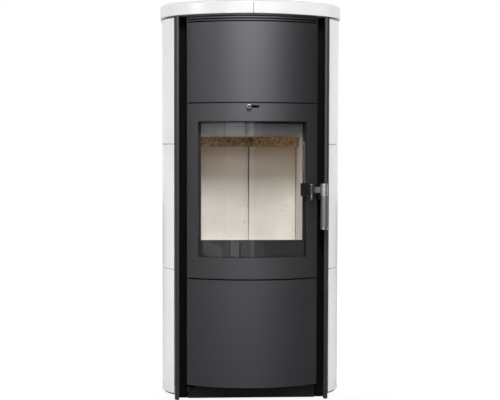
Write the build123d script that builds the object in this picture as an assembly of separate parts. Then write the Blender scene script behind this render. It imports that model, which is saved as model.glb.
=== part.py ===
from build123d import *
import os
from math import acos, asin, cos, degrees, radians, sin, sqrt

# Tiled stove with a curved front, in millimetres.
# +Z is up, -Y is the front, and the origin is on the floor under the middle of the bounding box.
# "v" is a distance measured back from the front-most line of the curved panels.

# ---- overall sizes ----
OVERALL_HEIGHT = 1190.0
OVERALL_WIDTH = 550.0
OVERALL_DEPTH = 440.0
KNOB_REACH = 15.0            # how far the air slider's knob stands in front of the panels
FRONT = -OVERALL_DEPTH / 2 + KNOB_REACH
DEPTH = OVERALL_DEPTH - KNOB_REACH
CUT_TOP = 2 * OVERALL_HEIGHT          # an upright hole is cut up to here
NEAR = 0.1                            # an edge whose middle is this near a plane lies on it
DRILL_SPARE = 4.0                     # a drill is this many times as long as its hole

# ---- curved front ----
FRONT_RADIUS = 360.0
PANEL_THICKNESS = 2.5
POST_INSET = 44.0            # plate edge to the post's outer side
POST_ZONE = 36.5             # post's outer side to the panel's end
POST_OUTER = OVERALL_WIDTH / 2 - POST_INSET
PANEL_HALF = POST_OUTER - POST_ZONE
PANEL_SAG = FRONT_RADIUS - sqrt(FRONT_RADIUS**2 - PANEL_HALF**2)
PANEL_EDGE_ROUND = 1.5

# ---- planes behind the front, as v ----
DOOR_RIM = 15.0              # panel's end to the back of a door
GASKET_SPACE = 8.0
DOOR_BACK = PANEL_SAG + DOOR_RIM
FRAME_FACE = DOOR_BACK + GASKET_SPACE
FRAME_THICKNESS = 4.0
SHELL_FRONT = FRAME_FACE + FRAME_THICKNESS
SEAL_GAP = 0.3               # gasket or cover plate to the face that it closes on

# ---- heights ----
FLOOR_GAP = 2.0              # posts and plinth to the floor
BASE_UNDERSIDE = 36.0
BASE_THICKNESS = 4.0
BASE_TOP = BASE_UNDERSIDE + BASE_THICKNESS
LOWER_DOOR_BOTTOM = 51.2
LOWER_DOOR_HEIGHT = 318.1
LOWER_DOOR_TOP = LOWER_DOOR_BOTTOM + LOWER_DOOR_HEIGHT
DOOR_GAP = 4.0
FIRE_DOOR_BOTTOM = LOWER_DOOR_TOP + DOOR_GAP
FIRE_DOOR_HEIGHT = 516.5
FIRE_DOOR_TOP = FIRE_DOOR_BOTTOM + FIRE_DOOR_HEIGHT
COVER_GAP = 3.2
COVER_BOTTOM = FIRE_DOOR_TOP + COVER_GAP
PLATE_THICKNESS = 40.0
PLATE_BOTTOM = OVERALL_HEIGHT - PLATE_THICKNESS
PAD_THICKNESS = 4.0
TOP_FRAME_THICKNESS = 4.0
TOP_FRAME_TOP = PLATE_BOTTOM - PAD_THICKNESS
TOP_FRAME_BOTTOM = TOP_FRAME_TOP - TOP_FRAME_THICKNESS
LOUVRE_TOP = PLATE_BOTTOM - 0.6

# ---- louvre over the upper panel ----
SLOT_COUNT = 3
SLOT_HEIGHT = 3.2
SLOT_PITCH = 7.5
TOP_BAND = 4.0
BLADE_DEPTH = 6.0
BLADE_LIP = 1.4
BLADE_RISE = 2.6
LOUVRE_BOTTOM = LOUVRE_TOP - TOP_BAND - SLOT_HEIGHT - (SLOT_COUNT - 1) * SLOT_PITCH

# ---- window and glass ----
STILE = 33.5
WINDOW_HALF = PANEL_HALF - STILE
WINDOW_BELOW = 62.2          # window's lower edge above the fire door's bottom
WINDOW_ABOVE = 52.3          # window's upper edge below the fire door's top
WINDOW_HEIGHT = FIRE_DOOR_HEIGHT - WINDOW_BELOW - WINDOW_ABOVE
WINDOW_BOTTOM = FIRE_DOOR_BOTTOM + WINDOW_BELOW
WINDOW_TOP = WINDOW_BOTTOM + WINDOW_HEIGHT
WINDOW_ROUND = 2.5
GLASS_THICKNESS = 4.0
GLASS_GASKET = 2.0
GLASS_LAP = 14.0             # glass beyond the window on every side
GASKET_EDGE = 1.0            # glass gasket's inner edge behind the window's edge
GLASS_OUTER = FRONT_RADIUS - PANEL_THICKNESS - GLASS_GASKET
GLASS_INNER = GLASS_OUTER - GLASS_THICKNESS
GLASS_HALF = WINDOW_HALF + GLASS_LAP

# ---- plate, tiles and their corner ----
PLATE_OVERHANG = 8.0
PLATE_RADIUS = 391.0
CORNER_RADIUS = 130.0
CORNER_X = OVERALL_WIDTH / 2 - CORNER_RADIUS
CORNER_V = PLATE_RADIUS - PLATE_OVERHANG - sqrt((PLATE_RADIUS - CORNER_RADIUS)**2 - CORNER_X**2)
PLATE_JOINT = 1.2
PLATE_TOP_ROUND = 10.0
PLATE_SMALL_ROUND = 2.0
PLATE_REAR_ROUND = 30.0
TILE_INSET = 5.0             # tile face behind the plate's edge
TILE_THICKNESS = 22.0
TILE_OUTER_RADIUS = CORNER_RADIUS - TILE_INSET
TILE_INNER_RADIUS = TILE_OUTER_RADIUS - TILE_THICKNESS
TILE_FACE = OVERALL_WIDTH / 2 - TILE_INSET
TILE_BACK_FACE = TILE_FACE - TILE_THICKNESS
TILE_ROWS = 3
TILE_JOINT = 1.0
TILE_BOTTOM = 20.0
TILE_TOP_GAP = 5.0
TILE_FRONT_X = POST_OUTER + 0.8
TILE_REAR = DEPTH - 10.0
TILE_ROUND = 2.5
TILE_FACE_ZONE = 5.5         # an edge this near the glazed face is rounded
TILE_PITCH = (PLATE_BOTTOM - TILE_TOP_GAP - TILE_BOTTOM + TILE_JOINT) / TILE_ROWS
TILE_POCKET = 9.0
TILE_RIM = 40.0
TILE_NAMES = ("bottom", "middle", "top")

# ---- posts ----
NOSE_WIDTH = 13.5
NOSE_FRONT = PANEL_SAG + 9.0
NOSE_FLAT = 6.5
NOSE_ROUND_DEPTH = 12.0
POST_REAR = PANEL_SAG + 47.0
POST_WALL = 2.0
POST_INNER = PANEL_HALF - 2.5
POST_PLUG = 6.0
POST_FOOT_ROUND = 4.0
POST_FOOT_REACH = 4.5        # how far in from the outer side the foot is rounded

# ---- casing ----
SHEET = 2.0
CASING_FLANGE = 20.0
COVER_LIP_START = 24.0       # upper panel's fixing lips above its lower edge
REAR_SHEET = 1.5
REAR_PANEL_FRONT = DEPTH - 9.0
CASING_REAR = REAR_PANEL_FRONT
SIDE_CLEAR = 0.5
SHIELD_V = REAR_PANEL_FRONT - 66.0
SHIELD_THICKNESS = 1.5
SHIELD_TOP = TOP_FRAME_BOTTOM - 40.0
REAR_PANEL_BOTTOM = 20.0
VENT_COUNT = 9
VENT_PITCH = 40.0
VENT_WIDTH = 24.0
VENT_HEIGHT = 6.0
VENT_INSET = 45.0
SCREW_ROWS = 4
SCREW_MARGIN = 60.0
CARRIER_WIDTH = 25.0
CARRIER_FROM_REAR = (45.0, 205.0)
LEDGE_THICKNESS = 4.0
LEDGE_INSET = 5.0

# ---- plinth, feet ----
PLINTH_V = PANEL_SAG + 38.0
PLINTH_HALF = POST_INNER - 0.3
PLINTH_SHEET = 2.0
PLINTH_FLANGE = 22.0
FOOT_PAD_RADIUS = 18.0
FOOT_PAD_HEIGHT = 8.0
FOOT_STEM_RADIUS = 5.0
FOOT_STEM_TOP = 58.0
FOOT_CHAMFER = 1.0
NUT_HEIGHT = 8.0
NUT_ACROSS_CORNERS = 19.6
NUT_SIDES = 6
THREAD_CLEAR = 0.1
FOOT_X_INSET = 34.0
FOOT_V_INSET = 36.0

# ---- firebox ----
OPENING_HALF = PANEL_HALF - 42.0
OPENING_BELOW = 109.5        # fire opening's lower edge above the fire door's bottom
OPENING_ABOVE = 58.0         # fire opening's upper edge below the fire door's top
OPENING_HEIGHT = FIRE_DOOR_HEIGHT - OPENING_BELOW - OPENING_ABOVE
OPENING_BOTTOM = FIRE_DOOR_BOTTOM + OPENING_BELOW
OPENING_TOP = OPENING_BOTTOM + OPENING_HEIGHT
SIDE_BRICK = 29.7
BRICK_CLEAR = 0.3
SHELL_WALL = 4.0
SHELL_HALF = OPENING_HALF + SIDE_BRICK + 2 * BRICK_CLEAR + SHELL_WALL
FRAME_HALF = SHELL_HALF
FRAME_BOTTOM = LOWER_DOOR_TOP - 29.3
SHELL_BOTTOM = LOWER_DOOR_TOP + 12.7
SHELL_TOP = TOP_FRAME_BOTTOM - 46.0
REAR_CHANNEL = 37.5          # shell's back to the rear heat shield
BACK_BRICK = 23.0
SHELL_BACK = SHIELD_V - REAR_CHANNEL
BACK_BRICK_V = SHELL_BACK - SHELL_WALL - BRICK_CLEAR - BACK_BRICK
BRICK_FRONT = SHELL_FRONT + 4.0
HEARTH_UNDERSIDE = SHELL_BOTTOM + 49.0
HEARTH_THICKNESS = 4.0
HEARTH_TOP = HEARTH_UNDERSIDE + HEARTH_THICKNESS
FLOOR_BRICK = 25.0
FLOOR_TOP = HEARTH_TOP + FLOOR_BRICK
SIDE_BRICK_TOP = OPENING_TOP + 1.0
SHELF_THICKNESS = 4.0

# ---- baffle ----
BAFFLE_BELOW = 67.5          # baffle's underside below the top of the fire opening
BAFFLE_THICKNESS = 30.0
BAFFLE_BOTTOM = OPENING_TOP - BAFFLE_BELOW
BAFFLE_FRONT = SHELL_FRONT + 116.0
BAFFLE_REBATE = 15.0
BAFFLE_JOINT_X = 3.0
BAFFLE_JOINT = 0.8
BACK_BRICK_JOINT = 0.8

# ---- grate and ash pan ----
GRATE_HALF = 89.0
GRATE_FRONT = BRICK_FRONT + 51.0
GRATE_REAR = BACK_BRICK_V - 35.5
GRATE_THICKNESS = 12.0
GRATE_BELOW = 2.0
GRATE_SKIRT = 8.0
GRATE_SLOTS = 7
GRATE_SLOT_WIDTH = 9.0
GRATE_SLOT_PITCH = 20.0
GRATE_SLOT_MARGIN = 14.0
HEARTH_HOLE_MARGIN = 9.0
ASH_OPENING_HALF = 105.0
ASH_OPENING_BOTTOM = FIRE_DOOR_BOTTOM + 22.7
ASH_OPENING_TOP = HEARTH_UNDERSIDE - 3.0
ASH_PAN_HALF = 100.0
ASH_PAN_CLEAR = 1.0
ASH_PAN_WALL = 1.5
ASH_PAN_REAR = BACK_BRICK_V
ASH_FLANGE_LAP = 5.0
ASH_FLANGE = 1.5

# ---- air wash deflector ----
DEFLECTOR_DROP = 39.5
DEFLECTOR_RISE = 18.0
DEFLECTOR_SHEET = 2.5

# ---- flue ----
FLUE_BORE_RADIUS = 75.0
FLUE_WALL = 2.0
FLUE_V = SHELL_BACK - 97.5
FLUE_SCREW_ANGLE = 45.0
FLUE_FLANGE_RADIUS = 95.0
FLUE_FLANGE = 3.0
FLUE_BELOW_TOP = 4.0
FLUE_CLEAR = 4.0
FLUE_SHELL_HOLE = 73.0

# ---- air inlet ----
INLET_BORE_RADIUS = 50.0
INLET_WALL = 1.5
INLET_LENGTH = 46.0
INLET_Z = HEARTH_TOP + 15.0
INLET_FLANGE_RADIUS = 62.0
INLET_FLANGE = 2.0
INLET_CLEAR = 2.0
AIR_BOX_HALF = 64.0
AIR_BOX_WALL = 1.5
AIR_BOX_BELOW = 68.0
AIR_BOX_ABOVE = 66.0
AIR_HOLE_HALF = 50.0
AIR_HOLE_MARGIN = 6.0

# ---- top frame pads ----
PAD_RADIUS = 11.0
PAD_INNER_X = 60.0
PAD_FRONT_X = PANEL_HALF - 24.5
PAD_FRONT_V = PANEL_SAG + 28.0
PAD_REAR_X = POST_OUTER - 16.0
PAD_REAR_V = CASING_REAR - 46.0
TOP_FRAME_FRONT_RADIUS = FRONT_RADIUS - BLADE_DEPTH - 3.0

# ---- door inner frame and seals ----
LENS_SHEET = 3.0
LENS_TOP_BELOW = 1.8         # inner frame's top plate under the panel's top edge
LENS_BOTTOM_ABOVE = 1.7
RING_SHEET = 3.0
FIT_CLEAR = 0.2
RING_EDGE = 3.0              # ring's opening inside the window's edge
GASKET_OUTER = PANEL_HALF - 14.5
GASKET_WIDTH = 12.0
GASKET_BELOW = 6.7
GASKET_ABOVE = 33.8
GASKET_ROUND = 3.0

# ---- hinges ----
HINGE_X = -(PANEL_HALF - 12.5)
HINGE_BEHIND_PANEL = 10.77   # panel's inner face to the hinge axis
HINGE_V = FRONT_RADIUS - sqrt((FRONT_RADIUS - PANEL_THICKNESS)**2 - HINGE_X**2) + HINGE_BEHIND_PANEL
HINGE_PIN_RADIUS = 4.0
RUNNING_CLEAR = 0.08
HINGE_BUSH_RADIUS = 7.0
HINGE_BUSH_LENGTH = 12.0
HINGE_BRACKET_HALF = 11.0
HINGE_BRACKET_SHEET = 4.0
MIDDLE_BRACKET_SHEET = 2.4
HINGE_FOOT_HEIGHT = 17.0
HINGE_FOOT_SIDE = 8.0        # axis to the foot, which the door's turning edge has to clear
HINGE_BRACKET_NOSE = 9.0
HINGE_BRACKET_GAP = 1.3

# ---- lower door ----
LOWER_LENS_TOP_BELOW = 12.0
LOWER_LENS_BOTTOM_ABOVE = 8.0
STRIKE_HALF_HEIGHT = 9.0
STRIKE_X = (PANEL_HALF - 46.0, PANEL_HALF - 14.0)
MAGNET_GAP = 0.5

# ---- glass clips ----
CLIP_SHEET = 2.0
CLIP_HEIGHT = 24.0
CLIP_INNER_X = WINDOW_HALF + 4.0
CLIP_OUTER_X = PANEL_HALF - 5.5
CLIP_STUD_X = GLASS_HALF + 10.0
CLIP_STUD_RADIUS = 4.5
CLIP_ROWS = (0.08, 0.5, 0.92)
SCREW_RADIUS = 2.5
SCREW_HEAD_RADIUS = 4.6
SCREW_HEAD = 2.6
SCREW_SOCKET_RADIUS = 1.5
SCREW_SOCKET_DEPTH = 1.4
SCREW_CLEAR = 0.1
SCREW_LENGTH = 7.0
SCREW_HEAD_ROUND = 0.9

# ---- air slider ----
SLIDER_Z = FIRE_DOOR_TOP - 9.9
SLIDER_SLOT_LEFT = -16.0
SLIDER_SLOT_RIGHT = 17.2
SLIDER_SLOT_HEIGHT = 7.0
KNOB_X = -12.7
KNOB_RADIUS = 7.5
KNOB_LENGTH = 11.0
KNOB_ROUND = 2.5
STEM_RADIUS = 2.6
SLIDER_V = 14.0
SLIDER_THICKNESS = 2.0
SLIDER_HALF = 34.0
SLIDER_HALF_HEIGHT = 4.8
GUIDE_CLEAR = 0.3
GUIDE_WALL = 2.0
GUIDE_LEFT = -52.0
GUIDE_RIGHT = 54.0
GUIDE_LIP = 2.0

# ---- handle ----
HANDLE_PIN_X = PANEL_HALF - 20.0
HANDLE_PIN_OUT = 15.0        # pin axis in front of the panel's face
HANDLE_PIN_RADIUS = 2.9
HANDLE_Z = FIRE_DOOR_BOTTOM + 262.0   # middle of the shaft
HUB_RADIUS = 8.0
HUB_UP = 10.0
HUB_DOWN = 9.3
EAR_THICKNESS = 4.0
EAR_CLEAR = 0.3
EAR_LOW_DROP = 22.5
BRACKET_SHEET = 3.0
BRACKET_HALF = 9.0
BRACKET_STRUT = (9.0, 31.0, 5.5)
BRACKET_STRUT_ANGLE = 33.0
BRACKET_STRUT_X = -6.5
BRACKET_STRUT_DROP = 8.0
BURIED = 4.0                 # overshoot that is cut back to the panel's face
PIN_HEAD_RADIUS = 4.2
PIN_HEAD = 2.4
ARM_HALF_HEIGHT = 8.75
ARM_HALF_THICKNESS = 4.0
ARM_DARK_LENGTH = 13.0
CLAMP_OFFSET = 37.5          # grip axis to the right of the pin axis
CLAMP_FORWARD = 2.0
CLAMP_RADIUS = 11.0
CLAMP_UP = 18.5
CLAMP_DOWN = 18.5
CLAMP_ROUND = 1.0
SPLIT_WIDTH = 2.2
SPLIT_DEPTH = 5.0
SPLIT_BRIDGE = 3.2
SPLIT_OFFSET = 1.3
GRIP_RADIUS = 10.5
GRIP_LENGTH = 93.0
CAP_RADIUS = 11.0
CAP_HEIGHT = 7.0
CAP_ROUND = 1.5
CLAW_INNER = 40.5
CLAW_OUTER = 46.0
CLAW_FROM = 18.0
CLAW_WEB_TO = 33.0
CLAW_TIP_TO = 38.0
CLAW_THICKNESS = 5.0

# ---- latch catch ----
CATCH_X = HANDLE_PIN_X + 26.5
CATCH_BEHIND_PIN = 23.89     # handle pin to the catch pin, front to back
CATCH_PIN_RADIUS = 4.0
CATCH_EAR = 4.0
CATCH_EAR_HALF = 4.8
CATCH_UP = 9.0
CATCH_DOWN = 25.0
CATCH_BASE = 3.0
CATCH_BASE_HALF = 9.5


def arc_v(radius, x):
    """Depth v of a front arc of this radius at this x."""
    return FRONT_RADIUS - sqrt(radius**2 - x**2)


def slab(x0, x1, v0, v1, z0, z1):
    """Block between two limits on each axis."""
    middle = ((x0 + x1) / 2, FRONT + (v0 + v1) / 2, (z0 + z1) / 2)
    return Pos(*middle) * Box(x1 - x0, v1 - v0, z1 - z0)


def rod(x, v, radius, z0, z1):
    """Upright cylinder."""
    return Pos(x, FRONT + v, (z0 + z1) / 2) * Cylinder(radius, z1 - z0)


def depth_rod(x, z, radius, v0, v1):
    """Cylinder that runs from front to back."""
    return Pos(x, FRONT + (v0 + v1) / 2, z) * Rot(90, 0, 0) * Cylinder(radius, v1 - v0)


def upright(edges, z0, z1):
    """Solid that rises from a closed outline."""
    return Pos(0, 0, z0) * extrude(Face(Wire(edges)), amount=z1 - z0, dir=(0, 0, 1))


def front_arc(radius, x0, x1):
    """Arc of the curved front between two x values."""
    xs = (x0, (x0 + x1) / 2, x1)
    return ThreePointArc(*[(x, FRONT + arc_v(radius, x)) for x in xs])


def curved_sheet(outer, thickness, x0, x1, z0, z1):
    """Upright sheet bent to the curved front."""
    inner = outer - thickness
    edges = [
        front_arc(outer, x0, x1),
        Line((x1, FRONT + arc_v(outer, x1)), (x1, FRONT + arc_v(inner, x1))),
        front_arc(inner, x1, x0),
        Line((x0, FRONT + arc_v(inner, x0)), (x0, FRONT + arc_v(outer, x0))),
    ]
    return upright(edges, z0, z1)


def lens(radius, v_back, half, z0, z1):
    """Flat plate between the curved front and a straight back."""
    edges = [
        front_arc(radius, -half, half),
        Line((half, FRONT + arc_v(radius, half)), (half, FRONT + v_back)),
        Line((half, FRONT + v_back), (-half, FRONT + v_back)),
        Line((-half, FRONT + v_back), (-half, FRONT + arc_v(radius, -half))),
    ]
    return upright(edges, z0, z1)


def at_front(x, radius):
    """Place square to the front at x, on an arc: local -Y points outwards and local +X to the right."""
    turn = degrees(asin(x / FRONT_RADIUS))
    return Pos(0, FRONT + FRONT_RADIUS, 0) * Rot(0, 0, turn) * Pos(0, -radius, 0)


def both_sides(piece):
    """A piece and its mirror image across the middle plane."""
    return piece, mirror(piece, Plane.YZ)


def corner_arc(radius, a0, a1):
    """Arc of the plan's rounded corner, between two angles from the +X direction."""
    points = []
    for angle in (a0, (a0 + a1) / 2, a1):
        points.append((CORNER_X + radius * cos(angle), FRONT + CORNER_V - radius * sin(angle)))
    return ThreePointArc(*points)


# ---- base ----
def foot_places():
    """Middle of each levelling foot, as (x, v)."""
    front = POST_REAR + FOOT_V_INSET
    rear = CASING_REAR - FOOT_V_INSET
    side = POST_OUTER - FOOT_X_INSET
    return [(x, v) for x in (-side, side) for v in (front, rear)]


def base_plate():
    plate = slab(-POST_OUTER, POST_OUTER, POST_REAR, CASING_REAR, BASE_UNDERSIDE, BASE_TOP)
    plate += slab(-PLINTH_HALF, PLINTH_HALF, PLINTH_V, POST_REAR, BASE_UNDERSIDE, BASE_TOP)
    for x, v in foot_places():
        plate -= rod(x, v, FOOT_STEM_RADIUS + THREAD_CLEAR, 0, OVERALL_HEIGHT)
    return plate


def levelling_feet():
    feet = []
    for x, v in foot_places():
        pad = chamfer(Cylinder(FOOT_PAD_RADIUS, FOOT_PAD_HEIGHT).edges(), FOOT_CHAMFER)
        stem = rod(x, v, FOOT_STEM_RADIUS, FOOT_PAD_HEIGHT / 2, FOOT_STEM_TOP)
        feet.append(Pos(x, FRONT + v, FOOT_PAD_HEIGHT / 2) * pad + stem)
    return feet


def feet_locknuts():
    nuts = []
    for x, v in foot_places():
        nut = extrude(RegularPolygon(NUT_ACROSS_CORNERS / 2, NUT_SIDES), amount=NUT_HEIGHT)
        nut -= Cylinder(FOOT_STEM_RADIUS + THREAD_CLEAR, DRILL_SPARE * NUT_HEIGHT)
        nuts.append(Pos(x, FRONT + v, BASE_UNDERSIDE - NUT_HEIGHT) * nut)
    return nuts


def plinth_front():
    face = slab(-PLINTH_HALF, PLINTH_HALF, PLINTH_V, PLINTH_V + PLINTH_SHEET, FLOOR_GAP, BASE_UNDERSIDE)
    flange = slab(-PLINTH_HALF, PLINTH_HALF, PLINTH_V, PLINTH_V + PLINTH_FLANGE,
                  BASE_UNDERSIDE - PLINTH_SHEET, BASE_UNDERSIDE)
    return face + flange


# ---- posts and casing ----
def post_outline(wall):
    """Outline of the right post, or of its hollow when wall is more than nothing."""
    left = POST_OUTER - NOSE_WIDTH + wall
    front = NOSE_FRONT + wall
    flat = POST_OUTER - NOSE_WIDTH + NOSE_FLAT
    right = POST_OUTER - wall
    shoulder = NOSE_FRONT + NOSE_ROUND_DEPTH
    rear = POST_REAR - wall
    nose = EllipticalCenterArc((flat, FRONT + shoulder), right - flat, shoulder - front, 270, arc_size=90)
    return [
        Line((left, FRONT + front), (flat, FRONT + front)),
        nose,
        Line((right, FRONT + shoulder), (right, FRONT + rear)),
        Line((right, FRONT + rear), (left, FRONT + rear)),
        Line((left, FRONT + rear), (left, FRONT + front)),
    ]


def post():
    body = upright(post_outline(0), FLOOR_GAP, LOUVRE_TOP)
    outer_foot = body.edges().filter_by(
        lambda e: e.center().Z < FLOOR_GAP + 1 and e.center().X > POST_OUTER - POST_FOOT_REACH)
    body = fillet(outer_foot, POST_FOOT_ROUND)
    body -= upright(post_outline(POST_WALL), FLOOR_GAP + POST_PLUG, OVERALL_HEIGHT)
    nose_left = POST_OUTER - NOSE_WIDTH
    return body + slab(POST_INNER, nose_left + POST_WALL, POST_REAR - POST_WALL, POST_REAR,
                       FLOOR_GAP, LOUVRE_TOP)


def casing_side():
    inner = POST_OUTER - SHEET
    side = slab(inner, POST_OUTER, POST_REAR, CASING_REAR, BASE_TOP, TOP_FRAME_BOTTOM)
    for v0, v1 in ((POST_REAR, POST_REAR + SHEET), (CASING_REAR - SHEET, CASING_REAR)):
        side += slab(inner - CASING_FLANGE, inner, v0, v1, BASE_TOP, TOP_FRAME_BOTTOM)
    for x, v, z in screw_places():
        if x > 0:
            side -= depth_rod(x, z, SCREW_RADIUS + SCREW_CLEAR, v - 2 * SHEET, v + SHEET)
    return side


def screw_places():
    """Middle of each rear panel screw, as (x, v, z), v at the panel's outer face."""
    x = POST_OUTER - SHEET - CASING_FLANGE / 2
    low = BASE_TOP + SCREW_MARGIN
    step = (TOP_FRAME_BOTTOM - SCREW_MARGIN - low) / (SCREW_ROWS - 1)
    rear = REAR_PANEL_FRONT + REAR_SHEET
    return [(side * x, rear, low + row * step) for side in (-1, 1) for row in range(SCREW_ROWS)]


def rear_panel():
    panel = slab(-POST_OUTER, POST_OUTER, REAR_PANEL_FRONT, REAR_PANEL_FRONT + REAR_SHEET,
                 REAR_PANEL_BOTTOM, TOP_FRAME_BOTTOM)
    panel -= depth_rod(0, INLET_Z, INLET_BORE_RADIUS + INLET_WALL + INLET_CLEAR, 0, 2 * DEPTH)
    for x, v, z in screw_places():
        panel -= depth_rod(x, z, SCREW_RADIUS + SCREW_CLEAR, v - 2 * SHEET, v + SHEET)
    for z in (BASE_TOP + VENT_INSET, TOP_FRAME_BOTTOM - VENT_INSET):
        for i in range(VENT_COUNT):
            x = (i - (VENT_COUNT - 1) / 2) * VENT_PITCH
            panel -= slab(x - VENT_WIDTH / 2, x + VENT_WIDTH / 2, 0, 2 * DEPTH,
                          z - VENT_HEIGHT / 2, z + VENT_HEIGHT / 2)
    return panel


def pan_screw():
    """Screw along Y: the shank starts at the origin and runs to -Y, the head stands to +Y."""
    head = Pos(0, SCREW_HEAD / 2, 0) * Rot(90, 0, 0) * Cylinder(SCREW_HEAD_RADIUS, SCREW_HEAD)
    head = fillet(head.edges().group_by(Axis.Y)[-1], SCREW_HEAD_ROUND)
    socket = Pos(0, SCREW_HEAD, 0) * Rot(90, 0, 0) * Cylinder(SCREW_SOCKET_RADIUS, 2 * SCREW_SOCKET_DEPTH)
    shank = Pos(0, -SCREW_LENGTH / 2, 0) * Rot(90, 0, 0) * Cylinder(SCREW_RADIUS, SCREW_LENGTH)
    return head - socket + shank


def body_screws():
    screws = []
    for x, v, z in screw_places():
        screws.append(Pos(x, FRONT + v, z) * pan_screw())
    for x, v in flue_screw_places():
        screws.append(Pos(x, FRONT + v, SHELL_TOP + FLUE_FLANGE) * Rot(90, 0, 0) * pan_screw())
    return screws


def flue_screw_places():
    """Middle of each flue flange screw, as (x, v)."""
    reach = (FLUE_BORE_RADIUS + FLUE_WALL + FLUE_FLANGE_RADIUS) / 2
    side = reach * cos(radians(FLUE_SCREW_ANGLE))
    back = reach * sin(radians(FLUE_SCREW_ANGLE))
    return [(x, FLUE_V + v) for x in (-side, side) for v in (-back, back)]


def rear_heat_shield():
    side = POST_OUTER - SHEET
    shield = slab(-side, side, SHIELD_V, SHIELD_V + SHIELD_THICKNESS, BASE_TOP, SHIELD_TOP)
    low, high = air_box_heights()
    shield -= slab(-AIR_BOX_HALF - SIDE_CLEAR, AIR_BOX_HALF + SIDE_CLEAR, 0, DEPTH,
                   low - SIDE_CLEAR, high + SIDE_CLEAR)
    return shield


def tile_plan(outer, inner, front_x):
    """Outline of a right-hand tile between two faces of the plan's rounded corner."""
    a_out = acos((front_x - CORNER_X) / outer)
    a_in = acos((front_x - CORNER_X) / inner)
    x_out = CORNER_X + outer
    x_in = CORNER_X + inner
    rear = FRONT + TILE_REAR
    v_out = FRONT + CORNER_V - outer * sin(a_out)
    v_in = FRONT + CORNER_V - inner * sin(a_in)
    return [
        corner_arc(outer, a_out, 0),
        Line((x_out, FRONT + CORNER_V), (x_out, rear)),
        Line((x_out, rear), (x_in, rear)),
        Line((x_in, rear), (x_in, FRONT + CORNER_V)),
        corner_arc(inner, 0, a_in),
        Line((front_x, v_in), (front_x, v_out)),
    ]


def carrier_vs():
    """Front edge of each tile carrier rail."""
    return [TILE_REAR - offset for offset in CARRIER_FROM_REAR]


def side_tile(row):
    low = TILE_BOTTOM + row * TILE_PITCH
    high = low + TILE_PITCH - TILE_JOINT
    tile = upright(tile_plan(TILE_OUTER_RADIUS, TILE_INNER_RADIUS, TILE_FRONT_X), low, high)
    front_v = CORNER_V - TILE_OUTER_RADIUS * sin(acos((TILE_FRONT_X - CORNER_X) / TILE_OUTER_RADIUS))

    def is_outer(edge):
        """Edges round the glazed face."""
        middle = edge.center()
        curve = sqrt((middle.X - CORNER_X)**2 + (middle.Y - FRONT - CORNER_V)**2)
        on_corner = middle.Y < FRONT + CORNER_V - NEAR and curve > TILE_OUTER_RADIUS - TILE_FACE_ZONE
        on_side = middle.Y > FRONT + CORNER_V + NEAR and middle.X > TILE_FACE - TILE_FACE_ZONE
        at_front_edge = abs(middle.X - TILE_FRONT_X) < NEAR and abs(middle.Y - FRONT - front_v) < NEAR
        return on_corner or on_side or at_front_edge

    tile = fillet(tile.edges().filter_by(is_outer), TILE_ROUND)
    first, second = sorted(carrier_vs())
    pocket_from = first + CARRIER_WIDTH + TILE_ROUND
    return tile - slab(TILE_BACK_FACE - TILE_POCKET, TILE_BACK_FACE + TILE_POCKET,
                       pocket_from, second - TILE_ROUND, low + TILE_RIM, high - TILE_RIM)


def tile_carrier():
    """Right-hand ledge and its two channel rails, each rail welded from three flats."""
    ledge = upright(tile_plan(TILE_OUTER_RADIUS - LEDGE_INSET, TILE_INNER_RADIUS, TILE_FRONT_X),
                    TILE_BOTTOM - LEDGE_THICKNESS, TILE_BOTTOM)
    strip = slab(POST_OUTER, TILE_BACK_FACE, min(carrier_vs()), TILE_REAR,
                 TILE_BOTTOM - LEDGE_THICKNESS, TILE_BOTTOM)
    flats = [ledge + strip]
    top = PLATE_BOTTOM - TILE_TOP_GAP
    for v in carrier_vs():
        flats.append(slab(POST_OUTER, TILE_BACK_FACE, v, v + SHEET, TILE_BOTTOM, top))
        for x in (POST_OUTER, TILE_BACK_FACE - SHEET):
            flats.append(slab(x, x + SHEET, v + SHEET, v + CARRIER_WIDTH, TILE_BOTTOM, top))
    return flats


# ---- ceramic top ----
def top_plate():
    """Right-hand half of the ceramic top."""
    joint = PLATE_JOINT / 2
    centre_v = PLATE_RADIUS - PLATE_OVERHANG
    reach = PLATE_RADIUS - CORNER_RADIUS
    tangent_angle = acos(CORNER_X / reach)
    tangent_x = PLATE_RADIUS * cos(tangent_angle)

    def plate_v(x):
        return FRONT + centre_v - sqrt(PLATE_RADIUS**2 - x**2)

    side = OVERALL_WIDTH / 2
    rear = FRONT + DEPTH
    bend = PLATE_REAR_ROUND
    edges = [
        ThreePointArc(*[(x, plate_v(x)) for x in (joint, (joint + tangent_x) / 2, tangent_x)]),
        corner_arc(CORNER_RADIUS, tangent_angle, 0),
        Line((side, FRONT + CORNER_V), (side, rear - bend)),
        CenterArc((side - bend, rear - bend), bend, 0, 90),
        Line((side - bend, rear), (joint, rear)),
        Line((joint, rear), (joint, plate_v(joint))),
    ]
    plate = upright(edges, PLATE_BOTTOM, OVERALL_HEIGHT)

    def is_rim(edge, z):
        middle = edge.center()
        return abs(middle.Z - z) < NEAR and middle.X > 2 * joint

    plate = fillet(plate.edges().filter_by(lambda e: is_rim(e, OVERALL_HEIGHT)), PLATE_TOP_ROUND)
    plate = fillet(plate.edges().filter_by(lambda e: is_rim(e, PLATE_BOTTOM)), PLATE_SMALL_ROUND)
    return plate - rod(0, FLUE_V, FLUE_BORE_RADIUS + FLUE_WALL + FLUE_CLEAR, 0, CUT_TOP)


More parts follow.
